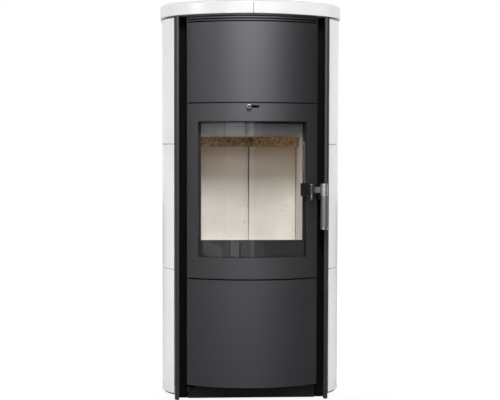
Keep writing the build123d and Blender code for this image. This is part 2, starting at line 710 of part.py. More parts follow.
def top_frame():
    side = POST_OUTER
    nose = POST_INNER - FIT_CLEAR
    step = POST_REAR + FIT_CLEAR
    frame = lens(TOP_FRAME_FRONT_RADIUS, step, nose, TOP_FRAME_BOTTOM, TOP_FRAME_TOP)
    frame += slab(-side, side, step, CASING_REAR, TOP_FRAME_BOTTOM, TOP_FRAME_TOP)
    hole = FLUE_BORE_RADIUS + FLUE_WALL + FLUE_CLEAR
    return frame - rod(0, FLUE_V, hole, 0, CUT_TOP)


def top_pads():
    pads = []
    places = ((PAD_INNER_X, PAD_FRONT_V), (PAD_FRONT_X, PAD_FRONT_V),
              (PAD_INNER_X, PAD_REAR_V), (PAD_REAR_X, PAD_REAR_V))
    for x, v in places:
        pads.extend(both_sides(rod(x, v, PAD_RADIUS, TOP_FRAME_TOP, PLATE_BOTTOM)))
    return pads


# ---- firebox ----
def air_box_heights():
    return INLET_Z - AIR_BOX_BELOW, INLET_Z + AIR_BOX_ABOVE


def firebox_shell():
    """Steel plates, welded edge to edge: bottom, hearth plate, two sides, back and top."""
    inner = SHELL_HALF - SHELL_WALL
    back = SHELL_BACK - SHELL_WALL
    bottom = slab(-inner, inner, SHELL_FRONT, back, SHELL_BOTTOM, SHELL_BOTTOM + SHELL_WALL)
    hearth = slab(-inner, inner, SHELL_FRONT, back, HEARTH_UNDERSIDE, HEARTH_TOP)
    margin = HEARTH_HOLE_MARGIN
    hearth -= slab(margin - GRATE_HALF, GRATE_HALF - margin, GRATE_FRONT + margin, GRATE_REAR - margin,
                   HEARTH_UNDERSIDE, HEARTH_TOP)
    side = slab(inner, SHELL_HALF, SHELL_FRONT, SHELL_BACK, SHELL_BOTTOM, SHELL_TOP)
    rear = slab(-inner, inner, back, SHELL_BACK, SHELL_BOTTOM, SHELL_TOP)
    rear -= slab(-AIR_HOLE_HALF, AIR_HOLE_HALF, 0, DEPTH,
                 SHELL_BOTTOM + AIR_HOLE_MARGIN, HEARTH_UNDERSIDE - AIR_HOLE_MARGIN)
    top = slab(-inner, inner, SHELL_FRONT, back, SHELL_TOP - SHELL_WALL, SHELL_TOP)
    top -= rod(0, FLUE_V, FLUE_SHELL_HOLE, 0, OVERALL_HEIGHT)
    for x, v in flue_screw_places():
        top -= rod(x, v, SCREW_RADIUS + SCREW_CLEAR, 0, OVERALL_HEIGHT)
    return [bottom, hearth, rear, top, *both_sides(side)]


def air_box():
    """Sheets, welded edge to edge, between the shell's back and the air inlet."""
    low, high = air_box_heights()
    rear = DEPTH - INLET_LENGTH
    wall = AIR_BOX_WALL
    floor = slab(-AIR_BOX_HALF, AIR_BOX_HALF, SHELL_BACK, rear, low, low + wall)
    roof = slab(-AIR_BOX_HALF, AIR_BOX_HALF, SHELL_BACK, rear, high - wall, high)
    side = slab(AIR_BOX_HALF - wall, AIR_BOX_HALF, SHELL_BACK, rear, low + wall, high - wall)
    back = slab(wall - AIR_BOX_HALF, AIR_BOX_HALF - wall, rear - wall, rear, low + wall, high - wall)
    back -= depth_rod(0, INLET_Z, INLET_BORE_RADIUS, 0, 2 * DEPTH)
    return [floor, roof, back, *both_sides(side)]


def front_frame():
    frame = slab(-FRAME_HALF, FRAME_HALF, FRAME_FACE, SHELL_FRONT, FRAME_BOTTOM, SHELL_TOP)
    frame -= slab(-OPENING_HALF, OPENING_HALF, 0, DEPTH, OPENING_BOTTOM, OPENING_TOP)
    return frame - slab(-ASH_OPENING_HALF, ASH_OPENING_HALF, 0, DEPTH, ASH_OPENING_BOTTOM, ASH_OPENING_TOP)


def firebox_shelf():
    top = SHELL_BOTTOM
    low = top - SHELF_THICKNESS
    side = POST_OUTER - SHEET
    shelf = slab(-side, side, POST_REAR + SHEET, SHIELD_V, low, top)
    return shelf + slab(-FRAME_HALF, FRAME_HALF, SHELL_FRONT, POST_REAR + SHEET, low, top)


def floor_bricks():
    side_in = OPENING_HALF - BRICK_CLEAR
    inner = GRATE_HALF + BRICK_CLEAR
    rear = BACK_BRICK_V - BRICK_CLEAR
    bricks = list(both_sides(slab(inner + BRICK_CLEAR, side_in, BRICK_FRONT, rear, HEARTH_TOP, FLOOR_TOP)))
    bricks.append(slab(-inner, inner, BRICK_FRONT, GRATE_FRONT - BRICK_CLEAR, HEARTH_TOP, FLOOR_TOP))
    bricks.append(slab(-inner, inner, GRATE_REAR + BRICK_CLEAR, rear, HEARTH_TOP, FLOOR_TOP))
    return bricks


def side_bricks():
    outer = OPENING_HALF + SIDE_BRICK
    rear = BACK_BRICK_V + BACK_BRICK
    brick = slab(OPENING_HALF, outer, BRICK_FRONT, rear, HEARTH_TOP, SIDE_BRICK_TOP)
    brick -= slab(OPENING_HALF, OPENING_HALF + BAFFLE_REBATE, BAFFLE_FRONT - BRICK_CLEAR, rear,
                  BAFFLE_BOTTOM, OVERALL_HEIGHT)
    return both_sides(brick)


def back_bricks():
    half = OPENING_HALF - BRICK_CLEAR
    return both_sides(slab(BACK_BRICK_JOINT / 2, half, BACK_BRICK_V, BACK_BRICK_V + BACK_BRICK,
                           HEARTH_TOP, BAFFLE_BOTTOM))


def baffle_boards():
    reach = OPENING_HALF + BAFFLE_REBATE - BRICK_CLEAR
    rear = BACK_BRICK_V + BACK_BRICK
    top = BAFFLE_BOTTOM + BAFFLE_THICKNESS
    joint = BAFFLE_JOINT / 2
    left = slab(-reach, BAFFLE_JOINT_X - joint, BAFFLE_FRONT, rear, BAFFLE_BOTTOM, top)
    right = slab(BAFFLE_JOINT_X + joint, reach, BAFFLE_FRONT, rear, BAFFLE_BOTTOM, top)
    return left, right


def grate():
    top = FLOOR_TOP - GRATE_BELOW
    body = slab(-GRATE_HALF, GRATE_HALF, GRATE_FRONT, GRATE_REAR, HEARTH_TOP, top)
    skirt = GRATE_SKIRT
    body -= slab(skirt - GRATE_HALF, GRATE_HALF - skirt, GRATE_FRONT + skirt, GRATE_REAR - skirt,
                 HEARTH_TOP, top - GRATE_THICKNESS)
    for i in range(GRATE_SLOTS):
        x = (i - (GRATE_SLOTS - 1) / 2) * GRATE_SLOT_PITCH
        body -= slab(x - GRATE_SLOT_WIDTH / 2, x + GRATE_SLOT_WIDTH / 2, GRATE_FRONT + GRATE_SLOT_MARGIN,
                     GRATE_REAR - GRATE_SLOT_MARGIN, HEARTH_TOP, FLOOR_TOP)
    return body


def ash_pan():
    low = ASH_OPENING_BOTTOM + ASH_PAN_CLEAR
    high = ASH_OPENING_TOP - ASH_PAN_CLEAR
    front = FRAME_FACE - SEAL_GAP
    rear = ASH_PAN_REAR
    pan = slab(-ASH_PAN_HALF, ASH_PAN_HALF, front, rear, low, high)
    wall = ASH_PAN_WALL
    pan -= slab(wall - ASH_PAN_HALF, ASH_PAN_HALF - wall, front, rear - wall, low + wall, OVERALL_HEIGHT)
    runner = slab(-ASH_PAN_HALF, wall - ASH_PAN_HALF, SHELL_FRONT + ASH_FLANGE_LAP, rear,
                  SHELL_BOTTOM + SHELL_WALL, high)
    pan += runner
    pan += mirror(runner, Plane.YZ)
    reach = ASH_OPENING_HALF + ASH_FLANGE_LAP
    return pan + slab(-reach, reach, front - ASH_FLANGE, front, ASH_OPENING_BOTTOM - ASH_FLANGE_LAP / 2,
                      ASH_OPENING_TOP + ASH_FLANGE_LAP / 2)


def air_wash_deflector():
    half = OPENING_HALF - 2 * BRICK_CLEAR
    return slab(-half, half, SHELL_FRONT, SHELL_FRONT + DEFLECTOR_SHEET,
                OPENING_TOP - DEFLECTOR_DROP, OPENING_TOP + DEFLECTOR_RISE)


def flue_collar():
    top = OVERALL_HEIGHT - FLUE_BELOW_TOP
    outer = FLUE_BORE_RADIUS + FLUE_WALL
    collar = rod(0, FLUE_V, outer, SHELL_TOP, top)
    collar += rod(0, FLUE_V, FLUE_FLANGE_RADIUS, SHELL_TOP, SHELL_TOP + FLUE_FLANGE)
    collar -= rod(0, FLUE_V, FLUE_BORE_RADIUS, 0, CUT_TOP)
    for x, v in flue_screw_places():
        collar -= rod(x, v, SCREW_RADIUS + SCREW_CLEAR, 0, CUT_TOP)
    return collar


def air_inlet_spigot():
    front = DEPTH - INLET_LENGTH
    spigot = depth_rod(0, INLET_Z, INLET_BORE_RADIUS + INLET_WALL, front, DEPTH)
    spigot += depth_rod(0, INLET_Z, INLET_FLANGE_RADIUS, front, front + INLET_FLANGE)
    return spigot - depth_rod(0, INLET_Z, INLET_BORE_RADIUS, 0, 2 * DEPTH)


# ---- upper cover and louvre ----
def blade(low):
    """One louvre blade: a thin sloping strip, its lip at the front and its back raised."""
    outer = FRONT_RADIUS
    inner = FRONT_RADIUS - BLADE_DEPTH
    height = SLOT_PITCH - SLOT_HEIGHT
    section = Polyline((outer, low), (outer, low + height), (outer - BLADE_LIP, low + height),
                       (inner, low + height + BLADE_RISE - BLADE_LIP), (inner, low + BLADE_RISE),
                       (outer - BLADE_LIP, low), close=True)
    face = Plane.XZ * make_face(section)
    spread = degrees(asin(PANEL_HALF / FRONT_RADIUS)) + 1
    swept = revolve(face, Axis.Z, 2 * spread)
    turned = Pos(0, FRONT + FRONT_RADIUS, 0) * Rot(0, 0, -90 - spread) * swept
    inside = PANEL_HALF - PANEL_THICKNESS
    return turned & slab(-inside, inside, -DEPTH, DEPTH, 0, OVERALL_HEIGHT)


def convection_louvre():
    band_bottom = LOUVRE_TOP - TOP_BAND
    louvre = curved_sheet(FRONT_RADIUS, PANEL_THICKNESS, -PANEL_HALF, PANEL_HALF, band_bottom, LOUVRE_TOP)
    for i in range(SLOT_COUNT - 1):
        louvre += blade(band_bottom - SLOT_HEIGHT - i * SLOT_PITCH - (SLOT_PITCH - SLOT_HEIGHT))
    inner = PANEL_HALF - PANEL_THICKNESS
    cheek = slab(inner, PANEL_HALF, PANEL_SAG, FRAME_FACE, LOUVRE_BOTTOM, TOP_FRAME_BOTTOM)
    cheek += curved_sheet(FRONT_RADIUS, BLADE_DEPTH, inner, PANEL_HALF, LOUVRE_BOTTOM, LOUVRE_TOP)
    for piece in both_sides(cheek):
        louvre += piece
    return louvre


def curved_shell(z0, z1, v_back):
    """Curved panel with its two ends turned back to v_back."""
    inner = PANEL_HALF - PANEL_THICKNESS
    body = curved_sheet(FRONT_RADIUS, PANEL_THICKNESS, -PANEL_HALF, PANEL_HALF, z0, z1)
    for piece in both_sides(slab(inner, PANEL_HALF, PANEL_SAG, v_back, z0, z1)):
        body += piece
    ends = body.edges().filter_by(
        lambda e: abs(abs(e.center().X) - PANEL_HALF) < NEAR and abs(e.center().Y - FRONT - PANEL_SAG) < NEAR
        and e.length > z1 - z0 - 1)
    return fillet(ends, PANEL_EDGE_ROUND)


def upper_panel():
    panel = curved_shell(COVER_BOTTOM, LOUVRE_BOTTOM, FRAME_FACE)
    inner = PANEL_HALF - PANEL_THICKNESS
    lip = slab(inner - CASING_FLANGE, inner, FRAME_FACE - PANEL_THICKNESS, FRAME_FACE,
               COVER_BOTTOM + COVER_LIP_START, min(LOUVRE_BOTTOM, SHELL_TOP))
    for piece in both_sides(lip):
        panel += piece
    return panel


# ---- hinges and catches ----
def hinge_levels():
    """Underside and top of each hinge bracket: upper, middle and lower."""
    upper = COVER_BOTTOM + HINGE_BRACKET_GAP
    middle = LOWER_DOOR_TOP + (DOOR_GAP - MIDDLE_BRACKET_SHEET) / 2
    return ((upper, upper + HINGE_BRACKET_SHEET), (middle, middle + MIDDLE_BRACKET_SHEET),
            (BASE_TOP, BASE_TOP + HINGE_BRACKET_SHEET))


def hinge_bracket(low, high, back):
    """Tongue that carries a hinge pin, between two heights and forward of a plane."""
    half = HINGE_BRACKET_HALF
    tongue = slab(HINGE_X - HINGE_BRACKET_NOSE, HINGE_X + half, HINGE_V, back, low, high)
    return tongue + rod(HINGE_X, HINGE_V, HINGE_BRACKET_NOSE, low, high)


def hinge_brackets():
    """The upper bracket's foot rises, the middle one's hangs down, and the lower one lies flat."""
    upper, middle, lower = hinge_levels()
    foot_left = HINGE_X + HINGE_FOOT_SIDE
    foot_right = HINGE_X + 2 * HINGE_BRACKET_HALF
    foot_v = FRAME_FACE - SHEET
    top = hinge_bracket(*upper, FRAME_FACE)
    top += slab(foot_left, foot_right, foot_v, FRAME_FACE, upper[0], upper[0] + HINGE_FOOT_HEIGHT)
    centre = hinge_bracket(*middle, FRAME_FACE)
    centre += slab(foot_left, foot_right, foot_v, FRAME_FACE, middle[1] - HINGE_FOOT_HEIGHT, middle[1])
    bottom = hinge_bracket(*lower, POST_REAR + 2 * HINGE_BRACKET_HALF)
    hole = rod(HINGE_X, HINGE_V, HINGE_PIN_RADIUS, 0, OVERALL_HEIGHT)
    return [bracket - hole for bracket in (top, centre, bottom)]


def bush_spans():
    """Height limits of each hinge bush: fire door top and bottom, lower door top and bottom."""
    length = HINGE_BUSH_LENGTH
    fire_top = FIRE_DOOR_TOP - LENS_TOP_BELOW
    fire_bottom = FIRE_DOOR_BOTTOM + LENS_BOTTOM_ABOVE
    lower_top = LOWER_DOOR_TOP - LOWER_LENS_TOP_BELOW
    lower_bottom = LOWER_DOOR_BOTTOM + LOWER_LENS_BOTTOM_ABOVE
    return ((fire_top - length, fire_top), (fire_bottom, fire_bottom + length),
            (lower_top - length, lower_top), (lower_bottom, lower_bottom + length))


def hinge_pins():
    upper, _, lower = hinge_levels()
    fire_top, fire_bottom, lower_top, lower_bottom = bush_spans()
    spans = ((fire_top[0], upper[1]), (lower_top[0], fire_bottom[1]), (lower[0], lower_bottom[1]))
    return [rod(HINGE_X, HINGE_V, HINGE_PIN_RADIUS, low, high) for low, high in spans]


def latch_catch():
    low = HANDLE_Z - CATCH_DOWN
    high = HANDLE_Z + CATCH_UP
    rear = POST_REAR - POST_WALL
    pin_v = pin_point()[1] + CATCH_BEHIND_PIN
    base_left = POST_INNER + 2
    body = slab(base_left, base_left + 2 * CATCH_BASE_HALF, rear - CATCH_BASE, rear,
                low - CATCH_EAR, high + CATCH_EAR)
    for z in (low - CATCH_EAR, high):
        body += slab(CATCH_X - CATCH_EAR_HALF, CATCH_X + CATCH_EAR_HALF, pin_v, rear, z, z + CATCH_EAR)
        body += rod(CATCH_X, pin_v, CATCH_EAR_HALF, z, z + CATCH_EAR)
    return body + rod(CATCH_X, pin_v, CATCH_PIN_RADIUS, low, high)


def strike_heights():
    middle = FRAME_BOTTOM + STRIKE_HALF_HEIGHT + MAGNET_GAP
    return middle - STRIKE_HALF_HEIGHT, middle + STRIKE_HALF_HEIGHT


def magnet_catch():
    low, high = strike_heights()
    inset = CATCH_EAR
    body = slab(STRIKE_X[0] + inset, STRIKE_X[1] - inset, DOOR_BACK + MAGNET_GAP, FRAME_FACE, low, high)
    front_edges = body.edges().filter_by(lambda e: e.center().Y < FRONT + DOOR_BACK + 1)
    return fillet(front_edges, PANEL_EDGE_ROUND)


# ---- fire door ----
def clip_zs():
    span = WINDOW_HEIGHT
    return [WINDOW_BOTTOM + share * span for share in CLIP_ROWS]


def clip_places():
    return [(side * CLIP_STUD_X, z) for side in (-1, 1) for z in clip_zs()]


def door_panel():
    body = curved_shell(FIRE_DOOR_BOTTOM, FIRE_DOOR_TOP, DOOR_BACK)
    window = slab(-WINDOW_HALF, WINDOW_HALF, -DEPTH, DOOR_BACK, WINDOW_BOTTOM, WINDOW_TOP)
    window = fillet(window.edges().filter_by(Axis.Y), WINDOW_ROUND)
    body -= window
    half = SLIDER_SLOT_HEIGHT / 2
    body -= slab(SLIDER_SLOT_LEFT, SLIDER_SLOT_RIGHT, -DEPTH, DOOR_BACK, SLIDER_Z - half, SLIDER_Z + half)
    inner = FRONT_RADIUS - PANEL_THICKNESS
    length = inner - GLASS_INNER + FIT_CLEAR
    for x, z in clip_places():
        place = at_front(x, inner) * Pos(0, length / 2 - FIT_CLEAR, z) * Rot(90, 0, 0)
        body += place * Cylinder(CLIP_STUD_RADIUS, length - FIT_CLEAR)
        hole = at_front(x, inner) * Pos(0, length, z) * Rot(90, 0, 0)
        body -= hole * Cylinder(SCREW_RADIUS + SCREW_CLEAR, 2 * (length - FIT_CLEAR))
    return body


def door_frame():
    radius = FRONT_RADIUS - PANEL_THICKNESS - FIT_CLEAR
    half = PANEL_HALF - PANEL_THICKNESS - FIT_CLEAR
    top = FIRE_DOOR_TOP - LENS_TOP_BELOW
    bottom = FIRE_DOOR_BOTTOM + LENS_BOTTOM_ABOVE
    body = lens(radius, DOOR_BACK, half, top - LENS_SHEET, top)
    body += lens(radius, DOOR_BACK, half, bottom, bottom + LENS_SHEET)
    ring = slab(-half, half, DOOR_BACK - RING_SHEET, DOOR_BACK, bottom, top)
    edge = WINDOW_HALF - RING_EDGE
    ring -= slab(-edge, edge, 0, DEPTH, WINDOW_BOTTOM + RING_EDGE, WINDOW_TOP - RING_EDGE)
    body += ring
    for low, high in bush_spans()[:2]:
        body += rod(HINGE_X, HINGE_V, HINGE_BUSH_RADIUS, low, high)
    body -= rod(HINGE_X, HINGE_V, HINGE_PIN_RADIUS + RUNNING_CLEAR, 0, OVERALL_HEIGHT)
    outside = curved_sheet(FRONT_RADIUS + HINGE_BUSH_RADIUS, HINGE_BUSH_RADIUS + PANEL_THICKNESS + FIT_CLEAR,
                           -PANEL_HALF, PANEL_HALF, FIRE_DOOR_BOTTOM, FIRE_DOOR_TOP)
    return body - outside


def door_gasket():
    low = FIRE_DOOR_BOTTOM + GASKET_BELOW
    high = FIRE_DOOR_TOP - GASKET_ABOVE
    rope = slab(-GASKET_OUTER, GASKET_OUTER, DOOR_BACK, FRAME_FACE - SEAL_GAP, low, high)
    inner = GASKET_OUTER - GASKET_WIDTH
    rope -= slab(-inner, inner, 0, DEPTH, low + GASKET_WIDTH, high - GASKET_WIDTH)
    back_edges = rope.edges().filter_by(lambda e: e.center().Y > FRONT + FRAME_FACE - 1)
    return fillet(back_edges, GASKET_ROUND)


def glass_pane():
    return curved_sheet(GLASS_OUTER, GLASS_THICKNESS, -GLASS_HALF, GLASS_HALF,
                        WINDOW_BOTTOM - GLASS_LAP, WINDOW_TOP + GLASS_LAP)


def glass_gasket():
    outer = FRONT_RADIUS - PANEL_THICKNESS - FIT_CLEAR
    ring = curved_sheet(outer, GLASS_GASKET - 2 * FIT_CLEAR, -GLASS_HALF, GLASS_HALF,
                        WINDOW_BOTTOM - GLASS_LAP, WINDOW_TOP + GLASS_LAP)
    edge = GASKET_EDGE
    return ring - slab(-WINDOW_HALF - edge, WINDOW_HALF + edge, -DEPTH, DEPTH,
                       WINDOW_BOTTOM - edge, WINDOW_TOP + edge)


def glass_clips():
    clips = []
    for x, z in clip_places():
        x0, x1 = sorted((CLIP_INNER_X, CLIP_OUTER_X) if x > 0 else (-CLIP_OUTER_X, -CLIP_INNER_X))
        clip = curved_sheet(GLASS_INNER - FIT_CLEAR, CLIP_SHEET, x0, x1,
                            z - CLIP_HEIGHT / 2, z + CLIP_HEIGHT / 2)
        hole = at_front(x, GLASS_INNER) * Pos(0, 0, z) * Rot(90, 0, 0)
        clips.append(clip - hole * Cylinder(SCREW_RADIUS + SCREW_CLEAR, DRILL_SPARE * CLIP_SHEET))
    return clips


def glass_clip_screws():
    seat = GLASS_INNER - FIT_CLEAR - CLIP_SHEET - SCREW_CLEAR
    return [at_front(x, seat) * Pos(0, 0, z) * pan_screw() for x, z in clip_places()]


def slider_guide():
    top = FIRE_DOOR_TOP - LENS_TOP_BELOW - LENS_SHEET
    floor = SLIDER_Z - SLIDER_HALF_HEIGHT - GUIDE_CLEAR
    low = floor - GUIDE_WALL
    rear = SLIDER_V + SLIDER_THICKNESS + GUIDE_CLEAR
    front = SLIDER_V - GUIDE_CLEAR
    body = slab(GUIDE_LEFT, GUIDE_RIGHT, rear, rear + GUIDE_WALL, low, top)
    body += slab(GUIDE_LEFT, GUIDE_RIGHT, front - GUIDE_WALL, rear, low, floor)
    return body + slab(GUIDE_LEFT, GUIDE_RIGHT, front - GUIDE_WALL, front, low,
                       floor + GUIDE_LIP)


def air_slider():
    return slab(KNOB_X - SLIDER_HALF, KNOB_X + SLIDER_HALF, SLIDER_V, SLIDER_V + SLIDER_THICKNESS,
                SLIDER_Z - SLIDER_HALF_HEIGHT, SLIDER_Z + SLIDER_HALF_HEIGHT)


def slider_knob():
    knob = depth_rod(KNOB_X, SLIDER_Z, KNOB_RADIUS, -KNOB_REACH, KNOB_LENGTH - KNOB_REACH)
    knob = fillet(knob.edges().filter_by(lambda e: e.center().Y < FRONT - KNOB_REACH + 1), KNOB_ROUND)
    return knob + depth_rod(KNOB_X, SLIDER_Z, STEM_RADIUS, KNOB_LENGTH - KNOB_REACH - 1, SLIDER_V)


# ---- handle ----
def pin_point():
    """Plan position of the handle's pin, as (x, v)."""
    radius = FRONT_RADIUS + HANDLE_PIN_OUT
    return HANDLE_PIN_X, FRONT_RADIUS - sqrt(radius**2 - HANDLE_PIN_X**2)


def handle_bracket():
    pin_x, pin_v = pin_point()
    local = at_front(pin_x, FRONT_RADIUS)
    low = HANDLE_Z - HUB_DOWN - EAR_CLEAR - EAR_LOW_DROP + EAR_THICKNESS
    high = HANDLE_Z + HUB_UP + EAR_CLEAR + EAR_THICKNESS
    half = BRACKET_HALF
    pad = Box(2 * half, BRACKET_SHEET + BURIED, high - low)
    body = local * Pos(0, -BRACKET_SHEET / 2, (low + high) / 2) * pad
    for z in (low, high - EAR_THICKNESS):
        ear = local * Pos(0, -HANDLE_PIN_OUT / 2, z + EAR_THICKNESS / 2) * Box(2 * HUB_RADIUS, HANDLE_PIN_OUT,
                                                                            EAR_THICKNESS)
        body += ear + rod(pin_x, pin_v, HUB_RADIUS, z, z + EAR_THICKNESS)
    width, length, depth = BRACKET_STRUT
    strut_place = Pos(BRACKET_STRUT_X, -depth / 2, HANDLE_Z - BRACKET_STRUT_DROP)
    body += local * strut_place * Rot(0, BRACKET_STRUT_ANGLE, 0) * Box(width, depth + BURIED, length)
    body -= rod(pin_x, pin_v, HANDLE_PIN_RADIUS, 0, OVERALL_HEIGHT)
    hub_space = rod(pin_x, pin_v, HUB_RADIUS + EAR_CLEAR, low + EAR_THICKNESS, high - EAR_THICKNESS)
    body -= hub_space
    return body - rod(0, FRONT_RADIUS, FRONT_RADIUS + SCREW_CLEAR, 0, OVERALL_HEIGHT)


def handle_pin():
    pin_x, pin_v = pin_point()
    low = HANDLE_Z - HUB_DOWN - EAR_CLEAR - EAR_LOW_DROP + EAR_THICKNESS
    high = HANDLE_Z + HUB_UP + EAR_CLEAR + EAR_THICKNESS
    head = fillet(Cylinder(PIN_HEAD_RADIUS, PIN_HEAD).edges().group_by(Axis.Z)[-1], PIN_HEAD / 2)
    pin = rod(pin_x, pin_v, HANDLE_PIN_RADIUS, low - PIN_HEAD, high)
    return pin + Pos(pin_x, FRONT + pin_v, high + PIN_HEAD / 2) * head


def claw(pin_x, pin_v):
    """Latch claw: a web from the hub and a hook tip on an arc round the pin."""
    def sector(r0, r1, a0, a1):
        def at(r, a):
            return (pin_x + r * cos(radians(a)), FRONT + pin_v + r * sin(radians(a)))
        middle = (a0 + a1) / 2
        return Face(Wire([
            Line(at(r0, a0), at(r1, a0)),
            ThreePointArc(at(r1, a0), at(r1, middle), at(r1, a1)),
            Line(at(r1, a1), at(r0, a1)),
            ThreePointArc(at(r0, a1), at(r0, middle), at(r0, a0)),
        ]))
    low = HANDLE_Z - ARM_HALF_HEIGHT
    plan = sector(HUB_RADIUS / 2, CLAW_OUTER, CLAW_FROM, CLAW_WEB_TO)
    tip = sector(CLAW_INNER, CLAW_OUTER, CLAW_FROM, CLAW_TIP_TO)
    body = Pos(0, 0, low) * extrude(plan, amount=CLAW_THICKNESS, dir=(0, 0, 1))
    return body + Pos(0, 0, low) * extrude(tip, amount=CLAW_THICKNESS, dir=(0, 0, 1))


def handle_lever():
    pin_x, pin_v = pin_point()
    hub = rod(pin_x, pin_v, HUB_RADIUS, HANDLE_Z - HUB_DOWN, HANDLE_Z + HUB_UP)
    arm = slab(pin_x, pin_x + ARM_DARK_LENGTH, pin_v - ARM_HALF_THICKNESS, pin_v + ARM_HALF_THICKNESS,
               HANDLE_Z - ARM_HALF_HEIGHT, HANDLE_Z + ARM_HALF_HEIGHT)
    body = hub + arm + claw(pin_x, pin_v)
    return body - rod(pin_x, pin_v, HANDLE_PIN_RADIUS + RUNNING_CLEAR, 0, OVERALL_HEIGHT)


def grip_axis():
    pin_x, pin_v = pin_point()
    return pin_x + CLAMP_OFFSET, pin_v - CLAMP_FORWARD


def handle_shaft():
    pin_x, pin_v = pin_point()
    grip_x, grip_v = grip_axis()
    start = pin_x + ARM_DARK_LENGTH
    bar = slab(start, grip_x, pin_v - ARM_HALF_THICKNESS, pin_v + ARM_HALF_THICKNESS,
               HANDLE_Z - ARM_HALF_HEIGHT, HANDLE_Z + ARM_HALF_HEIGHT)
    return bar - rod(grip_x, grip_v, CLAMP_RADIUS + FIT_CLEAR, 0, OVERALL_HEIGHT)


def handle_clamp():
    x, v = grip_axis()
    low = HANDLE_Z - CLAMP_DOWN
    high = HANDLE_Z + CLAMP_UP
    body = Pos(x, FRONT + v, (low + high) / 2) * fillet(
        Cylinder(CLAMP_RADIUS, high - low).edges().filter_by(GeomType.CIRCLE), CLAMP_ROUND)
    half = SPLIT_WIDTH / 2
    middle = x + SPLIT_OFFSET
    for z0, z1 in ((low, HANDLE_Z - SPLIT_BRIDGE), (HANDLE_Z + SPLIT_BRIDGE, high)):
        body -= slab(middle - half, middle + half, 0, v - CLAMP_RADIUS + SPLIT_DEPTH, z0, z1)
    return body


def handle_grip():
    x, v = grip_axis()
    top = HANDLE_Z - CLAMP_DOWN
    return rod(x, v, GRIP_RADIUS, top - GRIP_LENGTH, top)


def grip_cap():
    x, v = grip_axis()
    top = HANDLE_Z - CLAMP_DOWN - GRIP_LENGTH
    cap = fillet(Cylinder(CAP_RADIUS, CAP_HEIGHT).edges().filter_by(GeomType.CIRCLE), CAP_ROUND)
    return Pos(x, FRONT + v, top - CAP_HEIGHT / 2) * cap


# ---- lower door ----
def lower_door_panel():
    return curved_shell(LOWER_DOOR_BOTTOM, LOWER_DOOR_TOP, DOOR_BACK)


def lower_door_frame():
    radius = FRONT_RADIUS - PANEL_THICKNESS - FIT_CLEAR
    half = PANEL_HALF - PANEL_THICKNESS - FIT_CLEAR
    top = LOWER_DOOR_TOP - LOWER_LENS_TOP_BELOW
    bottom = LOWER_DOOR_BOTTOM + LOWER_LENS_BOTTOM_ABOVE
    body = lens(radius, DOOR_BACK, half, top - LENS_SHEET, top)
    body += lens(radius, DOOR_BACK, half, bottom, bottom + LENS_SHEET)
    low, high = strike_heights()
    body += slab(STRIKE_X[0], STRIKE_X[1], DOOR_BACK - SHEET, DOOR_BACK, low, high)
    for side in (-1, 1):
        x0, x1 = sorted((side * half, side * (half - CASING_FLANGE)))
        body += slab(x0, x1, DOOR_BACK - SHEET, DOOR_BACK, bottom, top)
    for low, high in bush_spans()[2:]:
        body += rod(HINGE_X, HINGE_V, HINGE_BUSH_RADIUS, low, high)
    body -= rod(HINGE_X, HINGE_V, HINGE_PIN_RADIUS + RUNNING_CLEAR, 0, OVERALL_HEIGHT)
    outside = curved_sheet(FRONT_RADIUS + HINGE_BUSH_RADIUS, HINGE_BUSH_RADIUS + PANEL_THICKNESS + FIT_CLEAR,
                           -PANEL_HALF, PANEL_HALF, LOWER_DOOR_BOTTOM, LOWER_DOOR_TOP)
    return body - outside


def pair(names, piece):
    """Left and right versions of a right-hand piece, by name."""
    right, left = both_sides(piece)
    return {names[0]: left, names[1]: right}


def all_pieces():
    pieces = {
        "base_plate": base_plate(),
        "levelling_feet": levelling_feet(),
        "feet_locknuts": feet_locknuts(),
        "plinth_front": plinth_front(),
        "rear_panel": rear_panel(),
        "body_screws": body_screws(),
        "rear_heat_shield": rear_heat_shield(),
        "tile_carriers": [piece for flat in tile_carrier() for piece in both_sides(flat)],
        "firebox_shelf": firebox_shelf(),
        "firebox_shell": firebox_shell(),
        "air_box": air_box(),
        "front_frame": front_frame(),
        "floor_bricks": floor_bricks(),
        "side_bricks": side_bricks(),
        "back_bricks": back_bricks(),
        "baffle_boards": baffle_boards(),
        "grate": grate(),
        "ash_pan": ash_pan(),
        "air_wash_deflector": air_wash_deflector(),
        "flue_collar": flue_collar(),
        "air_inlet_spigot": air_inlet_spigot(),
        "top_frame": top_frame(),
        "top_pads": top_pads(),
        "convection_louvre": convection_louvre(),
        "upper_panel": upper_panel(),
        "hinge_brackets": hinge_brackets(),
        "hinge_pins": hinge_pins(),
        "latch_catch": latch_catch(),
        "magnet_catch": magnet_catch(),
        "door_panel": door_panel(),
        "door_frame": door_frame(),
        "door_gasket": door_gasket(),
        "glass_pane": glass_pane(),
        "glass_gasket": glass_gasket(),
        "glass_clips": glass_clips(),
        "glass_clip_screws": glass_clip_screws(),
        "slider_guide": slider_guide(),
        "air_slider": air_slider(),
        "slider_knob": slider_knob(),
        "handle_bracket": handle_bracket(),
        "handle_pin": handle_pin(),
        "handle_lever": handle_lever(),
        "handle_shaft": handle_shaft(),
        "handle_clamp": handle_clamp(),
        "handle_grip": handle_grip(),
        "grip_cap": grip_cap(),
        "lower_door_panel": lower_door_panel(),
        "lower_door_frame": lower_door_frame(),
    }
    pieces.update(pair(("post_left", "post_right"), post()))
    pieces.update(pair(("casing_side_left", "casing_side_right"), casing_side()))
    pieces.update(pair(("top_plate_left", "top_plate_right"), top_plate()))
    for row, name in enumerate(TILE_NAMES):
        pieces.update(pair((f"tile_left_{name}", f"tile_right_{name}"), side_tile(row)))
    return pieces


def solids_of(piece):
    """Every solid of a piece, or of a group of pieces."""
    group = piece if isinstance(piece, (list, tuple)) else [piece]
    return [solid for member in group for solid in member.solids()]


